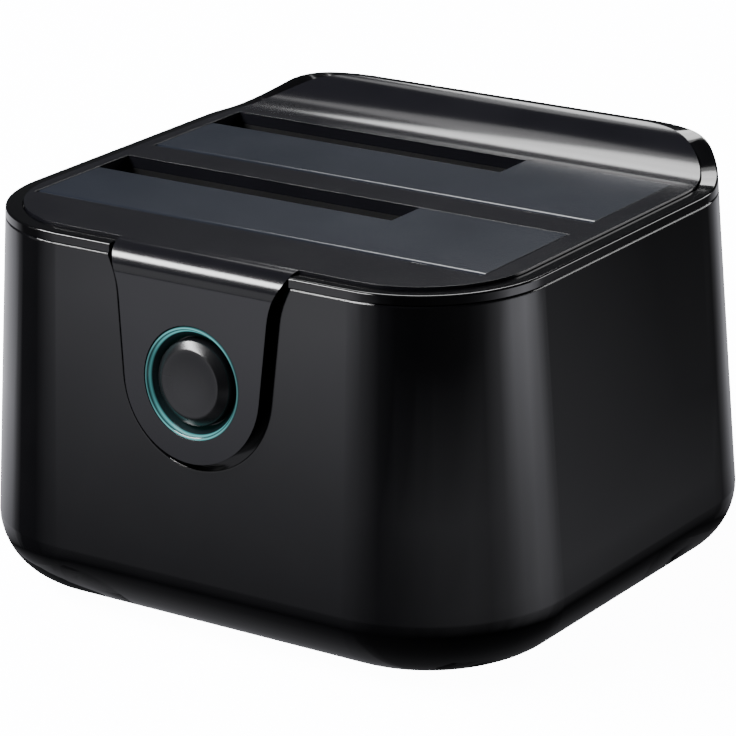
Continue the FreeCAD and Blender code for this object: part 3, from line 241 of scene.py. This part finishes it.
@dataclass(frozen=True)
class DrawnMetal(Finish):
    """Rolled or drawn metal under a thin plating: faint lines along the direction of drawing."""

    stretch: float = 12.0

    def height(self, tree: bpy.types.NodeTree, place: bpy.types.NodeSocket) -> bpy.types.NodeSocket:
        """Drawing lines along X, as a height from nought to one."""
        stretch = {"Scale": (1 / self.stretch, 1.0, 1.0)}
        drawn = add_node(tree, "ShaderNodeMapping", stretch, {"Vector": place})
        return super().height(tree, drawn.outputs["Vector"])


@dataclass(frozen=True)
class SolderMask(Finish):
    """Glass-epoxy board under a printed mask: copper tracks stand out as slightly lighter lines."""

    track_mm: float = 1.6
    track: str = "#1c4a2c"

    def tint(self, tree: bpy.types.NodeTree, place: bpy.types.NodeSocket,
             drift: bpy.types.NodeSocket) -> bpy.types.NodeSocket:
        """Mask colour with a grid of covered tracks."""
        settings = {"Scale": 1 / (self.track_mm * MM), "Color1": linear(self.colour),
                    "Color2": linear(self.shade), "Mortar": linear(self.track), "Mortar Size": 0.06,
                    "offset": 0.37}
        return add_node(tree, "ShaderNodeTexBrick", settings, {"Vector": place}).outputs["Color"]


@dataclass(frozen=True)
class LitPolycarbonate(Finish):
    """Clear ring with lamps behind it: teal light leaves its slope and its lip, most at top and bottom."""

    glow: str = "#63b7b9"
    shade: str = "#3f8a8e"
    dim: str = "#04100f"
    centre: tuple[float, float, float] = (0.0, 0.0, 0.0)
    axis: tuple[float, float, float] = (0.0, 1.0, 0.0)
    inner_m: float = 0.00855
    outer_m: float = 0.0108
    side_strength: float = 0.45     # at the height of the axis
    end_strength: float = 1.5       # at top and bottom
    even_share: float = 0.3         # of the radius, beside the axis, that keeps the side strength

    def extra(self, tree: bpy.types.NodeTree, place: bpy.types.NodeSocket, shader: bpy.types.Node) -> None:
        """Light from behind, told apart by the distance from the ring's axis and by the height."""
        arm = add_node(tree, "ShaderNodeVectorMath", {"operation": "SUBTRACT", 1: self.centre}, {0: place})
        turn = add_node(tree, "ShaderNodeVectorMath", {"operation": "CROSS_PRODUCT", 1: self.axis},
                        {0: arm.outputs["Vector"]})
        radius = add_node(tree, "ShaderNodeVectorMath", {"operation": "LENGTH"}, {0: turn.outputs["Vector"]})
        across = add_node(tree, "ShaderNodeMapRange", {"From Min": self.inner_m, "From Max": self.outer_m},
                          {"Value": radius.outputs["Value"]}).outputs["Result"]
        glow, shade, dim = linear(self.glow), linear(self.shade), linear(self.dim)
        stops = [(0.0, dim), (0.16, dim), (0.36, shade), (0.52, shade),
                 (0.64, glow), (0.76, shade), (0.88, glow), (1.0, shade)]
        ramp = add_node(tree, "ShaderNodeValToRGB", {"stops": stops}, {"Fac": across})
        rise = add_node(tree, "ShaderNodeSeparateXYZ", {}, {"Vector": arm.outputs["Vector"]}).outputs["Z"]
        height = add_node(tree, "ShaderNodeMath", {"operation": "ABSOLUTE"}, {0: rise}).outputs["Value"]
        reach = {"interpolation_type": "SMOOTHSTEP", "From Min": self.even_share * self.outer_m,
                 "From Max": self.outer_m, "To Min": self.side_strength, "To Max": self.end_strength}
        power = add_node(tree, "ShaderNodeMapRange", reach, {"Value": height}).outputs["Result"]
        tree.links.new(ramp.outputs["Color"], shader.inputs["Emission Color"])
        tree.links.new(power, shader.inputs["Emission Strength"])


@dataclass(frozen=True)
class LightTable(Finish):
    """White acrylic sheet with even light under it, as for product shots."""

    light: str = "#fbfcff"
    strength: float = 14.0

    def extra(self, tree: bpy.types.NodeTree, place: bpy.types.NodeSocket, shader: bpy.types.Node) -> None:
        """Even light from beneath."""
        shader.inputs["Emission Color"].default_value = linear(self.light)
        shader.inputs["Emission Strength"].default_value = self.strength


class Slot(Enum):
    """Material slots of the record that a scene piece can take its finish from."""

    SHELL = "gloss_shell"
    CAP = "gloss_cap"
    RING = "ring_light"


def finishes() -> dict[str, bpy.types.Material]:
    """Builds the material of every slot in the record.

    Returns:
        Materials by slot name.
    """
    made = {
        # deep black that mirrors the room, with slow flow waves and softened edges
        "gloss_shell": PolishedAbs("polished_black_abs", "#08080a", 0.05, "#0b0b0d", grain_mm=9.0,
                                   relief_mm=0.006, edge_mm=0.5),
        # a shade blacker than the shell: thin crisp lines on a dark band
        "gloss_rim": PolishedAbs("polished_rim_abs", "#050506", 0.08, "#070708",
                                 grain_mm=9.0, relief_mm=0.004),
        # dark grey sheen, where lamps spread into soft bands
        "satin_panel": SparkErodedAbs("satin_black_abs", "#121216", 0.14, "#151519",
                                      grain_mm=0.45, edge_mm=0.12),
        # the same sheen, cooler and lighter, so that the flaps stand out from the panel
        "flap_satin": SparkErodedAbs("satin_blue_black_abs", "#191d25", 0.18, "#1c2029", grain_mm=0.45,
                                     edge_mm=0.08),
        # dull black that lets the wells sink into shadow
        "guide_black": SparkErodedAbs("moulded_black_abs", "#0c0c0d", 0.5, "#101011"),
        # coarser, greyer grain of an underside
        "base_black": SparkErodedAbs("moulded_base_abs", "#121213", 0.5, "#161617",
                                     grain_mm=0.8, relief_mm=0.01),
        # no shine at all
        "foot_rubber": Finish("matt_rubber", "#101010", 0.85, "#161616", grain_mm=0.5, relief_mm=0.02),
        # cool grey metal with fine lines
        "steel": DrawnMetal("zinc_plated_steel", "#b4b6b8", 0.32, "#a4a6a9", metallic=1.0, grain_mm=0.3),
        # warmer and brighter than the zinc
        "plated_steel": DrawnMetal("nickel_plated_steel", "#c4c3bf", 0.24, "#b8b7b2",
                                   metallic=1.0, grain_mm=0.4),
        # yellow glints deep in the sockets
        "gold_contacts": DrawnMetal("gold_flashed_bronze", "#e2bb5f", 0.22, "#d6ac50", metallic=1.0,
                                    grain_mm=0.2),
        # pale, even metal
        "can_aluminium": DrawnMetal("drawn_aluminium", "#cfd1d3", 0.28, "#c2c4c7",
                                    metallic=1.0, grain_mm=0.4),
        # green with lighter tracks under it
        "board": SolderMask("green_solder_mask", "#0e3319", 0.3, "#103a1d", relief_mm=0.01),
        # dull charcoal
        "chip_epoxy": SparkErodedAbs("moulded_epoxy", "#161617", 0.55, "#1b1b1c"),
        # mid grey, like fine stone
        "ferrite": Finish("sintered_ferrite", "#3a3a3c", 0.6, "#454547", grain_mm=0.3, relief_mm=0.01),
        # flat black inside the metal of the sockets
        "socket_black": SparkErodedAbs("glass_filled_nylon", "#101010", 0.48, "#151515"),
        # shiny black that shows which way the rocker leans
        "rocker_black": PolishedAbs("polished_black_nylon", "#0b0b0b", 0.16, "#0f0f0f", grain_mm=5.0),
        # dark clear ring that glows teal
        "ring_light": LitPolycarbonate("lit_clear_polycarbonate", "#0a1214", 0.18, "#0c1618", ior=1.585,
                                       centre=tuple(StartButton.centre()), axis=tuple(StartButton.axis())),
        # softer gloss than the shell: a blurred crescent on the chamfer
        "gloss_cap": PolishedAbs("semi_gloss_black_abs", "#131315", 0.26, "#171719", grain_mm=5.0),
        # milky lens
        "led_white": Finish("clear_epoxy_resin", "#d8dad0", 0.2, "#e2e4da"),
        # off-white, slightly waxy
        "white_nylon": Finish("natural_nylon", "#d9d6cc", 0.45, "#dfdcd3"),
        # pale film with a soft shine
        "flat_cable": Finish("laminated_polyester", "#cfd2d4", 0.3, "#d6d9da"),
    }
    return {slot: finish.material() for slot, finish in made.items()}


def dress(node: str, material: bpy.types.Material) -> bpy.types.Object:
    """Gives a CAD node its finish.

    Args:
        node: name of the node.
        material: its finish.

    Returns:
        The node's object.
    """
    found = frame["nodes"][node]
    found.data.materials.clear()
    found.data.materials.append(material)
    return found


# ---- Sub-assemblies ----

@dataclass
class SubAssembly:
    """A group of nodes that are made and fitted together."""

    nodes: tuple[str, ...]

    def build(self) -> list[bpy.types.Object]:
        """Makes the pieces that the solids leave out; a plain group makes none."""
        return []

    def dress(self, materials: dict[str, bpy.types.Material]) -> None:
        """Gives each node the finish of its slot.

        Args:
            materials: finishes by slot.
        """
        slots = {part["node"]: part["material_slot"] for part in frame["record"]["subparts"]}
        for node in self.nodes:
            dress(node, materials[slots[node]])


@dataclass
class OuterCase(SubAssembly):
    """Glossy shell and bezel, base plate, feet and the screws under them."""

    nodes: tuple[str, ...] = ("outer_shell", "top_rim", "base_plate", "rubber_feet", "case_screws")
    rise: float = 5.9               # crest above the flat of the panel
    scoop_radius: float = 22.0
    crest_radius: float = 10.0
    scoop_from_rear: float = 24.15  # start of the scoop from the rearmost line of the shell
    corner_radius: float = 25.7     # of the bezel's outer line
    lean: float = 3.7               # degrees, as the walls below
    inset: float = 3.5              # outer line to the panel's edge
    step: float = 0.4               # bezel below the panel
    edge_across: float = 0.45       # soft outer edge
    edge_down: float = 0.35
    neck_half: float = 20.55
    wall_gap: float = 0.15          # between the bezel's inner wall and the panel's edge
    wall_depth: float = 1.0         # of the inner wall
    inner_edge: float = 0.12        # chamfer of the inner edge
    corner_steps: int = 48
    edge_steps: int = 10
    sharp: float = 35.0             # degrees
    shell_high: Vector = field(init=False)
    crest_height: float = field(init=False)
    bezel: bpy.types.Object = field(init=False)

    def surface(self, y: float) -> float:
        """Height of the panel's surface, with the scoop and the crest.

        Args:
            y: place along Y in metres.

        Returns:
            The height in metres.
        """
        flat = self.crest_height - self.rise * MM
        scoop = self.scoop_radius * MM
        crest = self.crest_radius * MM
        turn = math.acos(1 - self.rise * MM / (scoop + crest))
        run = y - (self.shell_high.y - self.scoop_from_rear * MM)
        left = (scoop + crest) * math.sin(turn) - run
        if run <= 0:
            return flat
        if left <= 0:
            return flat + self.rise * MM
        if run <= scoop * math.sin(turn):
            return flat + scoop - math.sqrt(scoop ** 2 - run ** 2)
        return flat + self.rise * MM - crest + math.sqrt(crest ** 2 - left ** 2)

    def stations(self) -> list[tuple[Vector, Vector]]:
        """Finds the bezel's outer line, from neck to neck.

        Returns:
            Places along the line, each with its outward direction.
        """
        low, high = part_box("top_rim")
        radius = self.corner_radius * MM
        neck = self.neck_half * MM
        corners = ((high.x - radius, low.y + radius, -90), (high.x - radius, high.y - radius, 0),
                   (low.x + radius, high.y - radius, 90), (low.x + radius, low.y + radius, 180))
        found = [(Vector((neck, low.y)), Vector((0, -1)))]
        for x, y, first in corners:
            for step in range(self.corner_steps + 1):
                angle = math.radians(first + 90 * step / self.corner_steps)
                way = Vector((math.cos(angle), math.sin(angle)))
                found.append((Vector((x, y)) + way * radius, way))
        found.append((Vector((-neck, low.y)), Vector((0, -1))))
        return found

    def section(self, place: Vector, way: Vector) -> list[Vector]:
        """Outline of the bezel at one station.

        Args:
            place: point of the outer line.
            way: outward direction there.

        Returns:
            Corners, from the foot of the inner wall over the soft edge to the outer foot.
        """
        foot = self.shell_high.z
        lean = math.tan(math.radians(self.lean))
        points = []

        def add(inset: float, drop: float) -> None:
            """One corner: millimetres in from the outer wall and below the panel's surface."""
            top = self.surface(place.y - way.y * inset * MM) - drop * MM
            spot = place - way * (inset * MM + lean * max(top - foot, 0.0))
            points.append(Vector((spot.x, spot.y, max(top, foot))))

        inner = self.inset - self.wall_gap
        add(inner, self.step + self.wall_depth)
        add(inner, self.step + self.inner_edge)
        add(inner - self.inner_edge, self.step)
        for index in range(self.edge_steps + 1):
            angle = math.pi / 2 * index / self.edge_steps
            add(self.edge_across * (1 - math.sin(angle)), self.step + self.edge_down * (1 - math.cos(angle)))
        points.append(Vector((place.x, place.y, foot)))
        hidden = place - way * (inner * MM)
        points.append(Vector((hidden.x, hidden.y, foot)))
        return points

    def build(self) -> list[bpy.types.Object]:
        """Sweeps the bezel with its soft edge round the panel, in place of the plain one.

        Returns:
            The bezel.
        """
        self.shell_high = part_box("outer_shell")[1]
        self.crest_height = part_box("top_panel")[1].z
        sections = [self.section(place, way) for place, way in self.stations()]
        count = len(sections[0])
        verts = [point for section in sections for point in section]
        faces = [tuple(range(count)), tuple(reversed(range(len(verts) - count, len(verts))))]
        for row in range(len(sections) - 1):
            for column in range(count):
                here = row * count + column
                beside = row * count + (column + 1) % count
                faces.append((here, here + count, beside + count, beside))
        self.bezel = add_mesh("bezel", verts, faces, self.sharp)
        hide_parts("top_rim")
        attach(self.bezel, "case")
        return [self.bezel]

    def dress(self, materials: dict[str, bpy.types.Material]) -> None:
        """Gives the nodes and the swept bezel their finishes.

        Args:
            materials: finishes by slot.
        """
        super().dress(materials)
        self.bezel.data.materials.append(materials["gloss_rim"])


@dataclass
class TopDeck(SubAssembly):
    """Satin panel with the tongue, and the screws that hold the guides to it."""

    nodes: tuple[str, ...] = ("top_panel", "guide_screws")


@dataclass
class StartButton(SubAssembly):
    """Lit ring, cap, switch and the small board behind the tongue."""

    nodes: tuple[str, ...] = ("light_ring", "button_cap", "switch_plunger", "button_switch", "button_board",
                              "button_screws", "ring_leds", "cable_headers", "button_cable")
    # Profiles: radius and height above the ring's face, in millimetres.
    cap: tuple[tuple[float, float], ...] = (
        (0.0, 0.13), (1.7, 0.16), (3.4, 0.25), (5.0, 0.40), (6.1, 0.54),        # dished face
        (6.45, 0.56), (6.6, 0.49), (6.75, 0.38), (8.0, -0.55), (8.12, -0.68),   # chamfer
        (8.25, -1.1), (8.33, -1.8), (8.4, -3.1),                                # side
        (9.35, -3.1), (9.35, -4.4), (0.0, -4.4),                                # collar
    )
    ring: tuple[tuple[float, float], ...] = (
        (8.6, -4.0), (8.6, -2.4), (9.1, -1.8), (9.6, -1.1), (10.0, -0.5), (10.25, -0.1),    # slope
        (10.4, 0.04), (10.55, 0.08), (10.7, 0.04), (10.8, -0.3), (10.8, -4.0),              # lip
    )
    turns: int = 96
    sharp: float = 42.0             # degrees
    pieces: dict[Slot, bpy.types.Object] = field(default_factory=dict)

    @staticmethod
    def axis() -> Vector:
        """Direction in which the button is pressed."""
        return Vector(next(joint for joint in frame["joints"] if joint["name"] == "button_press")["axis"])

    @classmethod
    def centre(cls) -> Vector:
        """Middle of the ring's front face."""
        low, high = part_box("light_ring")
        axis = cls.axis()
        radius = (high.x - low.x) / 2
        middle = (low + high) / 2
        depth = high.y - low.y - 2 * radius * abs(axis.z)
        face = middle - axis * (depth / axis.y / 2)
        return Vector((middle.x, face.y, face.z))

    def turned(self, name: str, profile: tuple[tuple[float, float], ...]) -> bpy.types.Object:
        """Turns a piece about the button's axis.

        Args:
            name: name of the piece.
            profile: radii and heights from one end to the other; a radius of 0 closes an end.

        Returns:
            The turned piece.
        """
        axis = self.axis()
        side = Vector((1, 0, 0))
        up = side.cross(axis)
        centre = self.centre()
        verts = []
        rows = []
        for radius, height in profile:
            level = centre - axis * (height * MM)
            steps = self.turns if radius else 1
            rows.append([len(verts) + step for step in range(steps)])
            for step in range(steps):
                angle = 2 * math.pi * step / self.turns
                verts.append(level + (side * math.cos(angle) + up * math.sin(angle)) * (radius * MM))
        pairs = list(zip(rows, rows[1:]))
        if profile[0][0]:
            pairs.append((rows[-1], rows[0]))
        faces = []
        for here, there in pairs:
            for step in range(self.turns):
                after = (step + 1) % self.turns
                corners = [here[step % len(here)], there[step % len(there)],
                           there[after % len(there)], here[after % len(here)]]
                faces.append(tuple(dict.fromkeys(corners)))
        return add_mesh(name, verts, faces, self.sharp)

    def build(self) -> list[bpy.types.Object]:
        """Makes the cap with its dished face and chamfer, and the ring with its sloped channel.

        Returns:
            The cap and the ring.
        """
        crown = self.turned("button_crown", self.cap)
        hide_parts("button_cap")
        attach(crown, "button")
        halo = self.turned("ring_halo", self.ring)
        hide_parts("light_ring")
        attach(halo, "case")
        self.pieces = {Slot.CAP: crown, Slot.RING: halo}
        return list(self.pieces.values())

    def dress(self, materials: dict[str, bpy.types.Material]) -> None:
        """Gives the nodes and the two turned pieces their finishes.

        Args:
            materials: finishes by slot.
        """
        super().dress(materials)
        for slot, piece in self.pieces.items():
            piece.data.materials.append(materials[slot.value])


@dataclass
class DriveBay(SubAssembly):
    """One well with its flap, pin, spring and receptacle."""

    nodes: tuple[str, ...] = ()

    @classmethod
    def at(cls, which: str) -> "DriveBay":
        """Picks one bay.

        Args:
            which: the word that its nodes start with.

        Returns:
            The bay.
        """
        pieces = ("drive_guide", "flap", "flap_pin", "flap_spring", "sata_connector", "sata_contacts")
        return cls(tuple(f"{which}_{piece}" for piece in pieces))


@dataclass
class MainElectronics(SubAssembly):
    """Main board with its chips, capacitors and inductors."""

    nodes: tuple[str, ...] = ("main_board", "controller_chips", "board_capacitors", "power_inductors")


@dataclass
class RearSockets(SubAssembly):
    """Data socket, power socket and switch in the rear wall."""

    nodes: tuple[str, ...] = ("usb_port_shell", "usb_port_insert", "usb_contacts", "dc_jack_body",
                              "dc_jack_pin", "power_switch_body", "power_rocker")


# ---- Studio ----

@dataclass(frozen=True)
class Softbox:
    """A rectangular lamp that looks at the object."""

    name: str
    place: tuple[float, float, float]
    size: tuple[float, float]
    power: float
    mirrored: bool = True       # whether glossy surfaces show it

    def build(self, target: Vector) -> bpy.types.Object:
        """Hangs the lamp.

        Args:
            target: the point that it looks at.

        Returns:
            The lamp.
        """
        lamp = bpy.data.lights.new(self.name, "AREA")
        lamp.shape = "RECTANGLE"
        lamp.size, lamp.size_y = self.size
        lamp.energy = self.power
        holder = bpy.data.objects.new(self.name, lamp)
        holder.location = self.place
        holder.visible_glossy = self.mirrored
        holder.rotation_euler = (target - holder.location).to_track_quat("-Z", "Y").to_euler()
        bpy.context.scene.collection.objects.link(holder)
        return holder


class Corner(Enum):
    """Corners of the case in plan, as signs along X and Y."""

    FRONT_LEFT = (-1, -1)
    FRONT_RIGHT = (1, -1)
    REAR_RIGHT = (1, 1)
    REAR_LEFT = (-1, 1)


@dataclass(frozen=True)
class Glimpse:
    """How bright the ground looks to the gloss in one direction from a corner of the case."""

    corner: Corner
    azimuth: float              # degrees from the front towards the right
    near: float                 # close to the case
    middle: float               # further off
    far: float
    under: float = 0.10         # just inside the outline of the case, seen in its foot round


# Set for the main view, so that the walls carry light and dark bands; other views share this ground.
GROUND = (
    Glimpse(Corner.FRONT_LEFT, -135, 0.80, 1.30, 1.40, 0.40),
    Glimpse(Corner.FRONT_LEFT, -118, 0.90, 1.40, 1.30, 0.40),
    Glimpse(Corner.FRONT_LEFT, -103, 0.90, 1.30, 1.20, 0.40),
    Glimpse(Corner.FRONT_LEFT, -94, 0.80, 1.20, 1.00, 0.40),
    Glimpse(Corner.FRONT_LEFT, -87, 0.30, 0.45, 0.40, 0.40),
    Glimpse(Corner.FRONT_LEFT, -80, 0.04, 0.05, 0.05, 0.40),
    Glimpse(Corner.FRONT_LEFT, -60, 0.05, 0.06, 0.06, 0.40),
    Glimpse(Corner.FRONT_LEFT, -50, 0.18, 0.25, 0.38, 0.40),
    Glimpse(Corner.FRONT_LEFT, -35, 0.36, 0.60, 1.20, 0.35),
    Glimpse(Corner.FRONT_RIGHT, -35, 0.36, 0.62, 1.40, 0.25),
    Glimpse(Corner.FRONT_RIGHT, -30, 0.34, 0.60, 1.30, 0.15),
    Glimpse(Corner.FRONT_RIGHT, -20, 0.24, 0.40, 0.60),
    Glimpse(Corner.FRONT_RIGHT, -5, 0.13, 0.14, 0.12),
    Glimpse(Corner.FRONT_RIGHT, 8, 0.16, 0.24, 0.03),
    Glimpse(Corner.FRONT_RIGHT, 25, 0.26, 0.38, 0.03),
    Glimpse(Corner.FRONT_RIGHT, 38, 0.34, 0.46, 0.05),
    Glimpse(Corner.FRONT_RIGHT, 64, 0.46, 0.54, 0.10),
    Glimpse(Corner.FRONT_RIGHT, 78, 0.42, 0.50, 0.22),
    Glimpse(Corner.FRONT_RIGHT, 92, 0.60, 0.72, 0.75),
    Glimpse(Corner.FRONT_RIGHT, 106, 0.98, 1.30, 2.40),
    Glimpse(Corner.FRONT_RIGHT, 120, 1.15, 1.45, 2.70),
    Glimpse(Corner.FRONT_RIGHT, 132, 0.90, 1.10, 1.60),
    Glimpse(Corner.FRONT_RIGHT, 140, 0.52, 0.52, 0.52),
    Glimpse(Corner.FRONT_RIGHT, 146, 0.38, 0.34, 0.26),
    Glimpse(Corner.REAR_RIGHT, 146, 0.24, 0.16, 0.10),
    Glimpse(Corner.REAR_RIGHT, 160, 0.12, 0.09, 0.07),
    Glimpse(Corner.REAR_RIGHT, 172, 0.30, 0.36, 0.40),
    Glimpse(Corner.REAR_RIGHT, 186, 0.50, 0.75, 0.90),
    Glimpse(Corner.REAR_RIGHT, 212, 0.40, 0.55, 0.60),
    Glimpse(Corner.REAR_LEFT, 212, 0.40, 0.55, 0.60),
    Glimpse(Corner.REAR_LEFT, 225, 0.60, 0.90, 0.90),
    Glimpse(Corner.FRONT_LEFT, 225, 0.80, 1.30, 1.40, 0.40),
)


@dataclass
class Studio:
    """Pale floor, soft lamps, the ground that the glossy walls mirror, and the camera."""

    floor_colour: str = "#f4f4f4"
    floor_half: float = 6.0
    ground_lift: float = 0.0004
    floor_shade: str = "#f8f8f8"
    ring_distances: tuple[float, ...] = (-0.022, -0.013, -0.003, 0.004, 0.012, 0.03, 0.06, 0.13, 0.30, 0.60,
                                         3.0)
    under_fade: float = 0.5         # share of the light under the case that is left near its edge
    edge_level: float = 0.02        # right at the edge
    near_fade: float = 0.7          # share of the near light just outside the edge
    ground_colour: str = "#f3f3fb"
    room_colour: str = "#e8ebf2"
    room_level: float = 0.06
    corner_radius: float = 0.0296
    view_azimuth: float = 34.89
    view_elevation: float = 19.11
    view_roll: float = -1.12
    view_distance: float = 0.7819
    view_offset: tuple[float, float, float] = (0.00293, -0.00389, 0.041)    # from the foot of the shell
    lens: float = 195.82
    sensor: float = 36.0
    clip: tuple[float, float] = (0.01, 50.0)
    lamps: tuple[Softbox, ...] = (
        Softbox("front_strip", (-0.62, -0.56, 0.86), (1.00, 0.20), 34.0),       # line on the tongue's roll
        Softbox("rear_softbox", (-0.42, 0.70, 0.75), (0.32, 0.42), 3.6),        # band in the scoop
        Softbox("rear_silk", (-0.42, 0.56, 0.86), (0.44, 0.26), 0.7),           # fades that band upwards
        Softbox("overhead_silk", (0.0, 0.0, 1.6), (1.8, 1.8), 2.0, mirrored=False),
        Softbox("front_silk", (-0.62, -0.80, 0.26), (1.2, 0.34), 1.0),          # grey under the line
        Softbox("rear_fill", (0.75, 1.15, 0.42), (0.9, 0.5), 9.0),              # rear sockets
    )

    def target(self) -> Vector:
        """Finds the point that the camera and the lamps look at.

        Returns:
            The point in metres.
        """
        low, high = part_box("outer_shell")
        return Vector(((low.x + high.x) / 2, (low.y + high.y) / 2, 0.0)) + Vector(self.view_offset)

    def floor(self) -> bpy.types.Object:
        """Lays the floor.

        Returns:
            The floor.
        """
        half = self.floor_half
        corners = [(-half, -half, 0), (half, -half, 0), (half, half, 0), (-half, half, 0)]
        floor = add_mesh("studio_floor", corners, [(0, 1, 2, 3)])
        sheet = LightTable("white_acrylic", self.floor_colour, 0.9, self.floor_shade, ior=1.49,
                           uneven_mm=400.0, grain_mm=3.0)
        floor.data.materials.append(sheet.material())
        floor.visible_glossy = False
        floor.visible_diffuse = False
        return floor

    def ground(self) -> bpy.types.Object:
        """Lays the glow that only the object's gloss mirrors, light in some directions and dark in others.

        Returns:
            The glow.
        """
        low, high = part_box("outer_shell")
        middle = (low + high) / 2
        half = (high - low) / 2
        verts = []
        levels = []
        for glimpse in GROUND:
            side, end = glimpse.corner.value
            facing = math.radians((glimpse.azimuth + self.view_azimuth) / 2)
            turn = math.radians(glimpse.azimuth)
            start = Vector((middle.x + side * (half.x - self.corner_radius),
                            middle.y + end * (half.y - self.corner_radius)))
            if glimpse.corner is not Corner.REAR_LEFT:
                start += Vector((math.sin(facing), -math.cos(facing))) * self.corner_radius
            way = Vector((math.sin(turn), -math.cos(turn)))
            shades = (0.0, glimpse.under, glimpse.under, glimpse.under * self.under_fade, self.edge_level,
                      glimpse.near * self.near_fade, glimpse.near, glimpse.middle, glimpse.far, glimpse.far,
                      glimpse.far)
            for distance, level in zip(self.ring_distances, shades):
                spot = start + way * distance
                verts.append((spot.x, spot.y, self.ground_lift))
                levels.append(level)
        rings = len(self.ring_distances)
        faces = []
        for column in range(len(GROUND) - 1):
            for ring in range(rings - 1):
                first = column * rings + ring
                faces.append((first, first + 1, first + 1 + rings, first + rings))
        ground = add_mesh("mirrored_ground", verts, faces)
        glow = ground.data.attributes.new("glow", "FLOAT", "POINT")
        glow.data.foreach_set("value", levels)
        made, tree = new_tree("mirrored_ground")
        level = add_node(tree, "ShaderNodeAttribute", {"attribute_name": "glow"}).outputs["Fac"]
        tone = {"Color": linear(self.ground_colour)}
        shine = add_node(tree, "ShaderNodeEmission", tone, {"Strength": level})
        add_node(tree, "ShaderNodeOutputMaterial", {}, {"Surface": shine.outputs["Emission"]})
        ground.data.materials.append(made)
        ground.visible_camera = False
        ground.visible_diffuse = False
        ground.visible_transmission = False
        ground.visible_shadow = False
        return ground

    def world(self) -> None:
        """Sets the dim, even light of the room."""
        world = bpy.data.worlds.new("room")
        world.use_nodes = True
        tree = world.node_tree
        tree.nodes.clear()
        shine = {"Color": linear(self.room_colour), "Strength": self.room_level}
        back = add_node(tree, "ShaderNodeBackground", shine)
        add_node(tree, "ShaderNodeOutputWorld", {}, {"Surface": back.outputs["Background"]})
        bpy.context.scene.world = world

    def camera(self) -> bpy.types.Object:
        """Sets the camera up.

        Returns:
            The camera.
        """
        turn, rise, roll = (math.radians(v) for v in (self.view_azimuth, self.view_elevation, self.view_roll))
        back = Vector((math.sin(turn) * math.cos(rise), -math.cos(turn) * math.cos(rise), math.sin(rise)))
        right = Vector((math.cos(turn), math.sin(turn), 0))
        up = back.cross(right)
        across = right * math.cos(roll) + up * math.sin(roll)
        upright = up * math.cos(roll) - right * math.sin(roll)
        lens = bpy.data.cameras.new("camera")
        lens.lens = self.lens
        lens.sensor_width = self.sensor
        lens.clip_start, lens.clip_end = self.clip
        camera = bpy.data.objects.new("camera", lens)
        place = self.target() + back * self.view_distance
        aim = Matrix((across, upright, back)).transposed().to_4x4()
        camera.matrix_world = Matrix.Translation(place) @ aim
        bpy.context.scene.collection.objects.link(camera)
        bpy.context.scene.camera = camera
        return camera

    def build(self) -> None:
        """Sets up the whole studio."""
        target = self.target()
        for lamp in self.lamps:
            lamp.build(target)
        self.floor()
        self.ground()
        self.world()
        self.camera()


def main() -> None:
    """Builds the object and its studio."""
    logging.basicConfig(level=logging.INFO, format="%(name)s: %(message)s")
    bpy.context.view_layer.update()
    materials = finishes()
    groups = (OuterCase(), TopDeck(), StartButton(), DriveBay.at("front"), DriveBay.at("rear"),
              MainElectronics(), RearSockets())
    for group in groups:
        pieces = group.build()
        group.dress(materials)
        LOG.info("%s: %d nodes, %d added pieces", type(group).__name__, len(group.nodes), len(pieces))
    Studio().build()


if __name__ == "__main__":
    main()
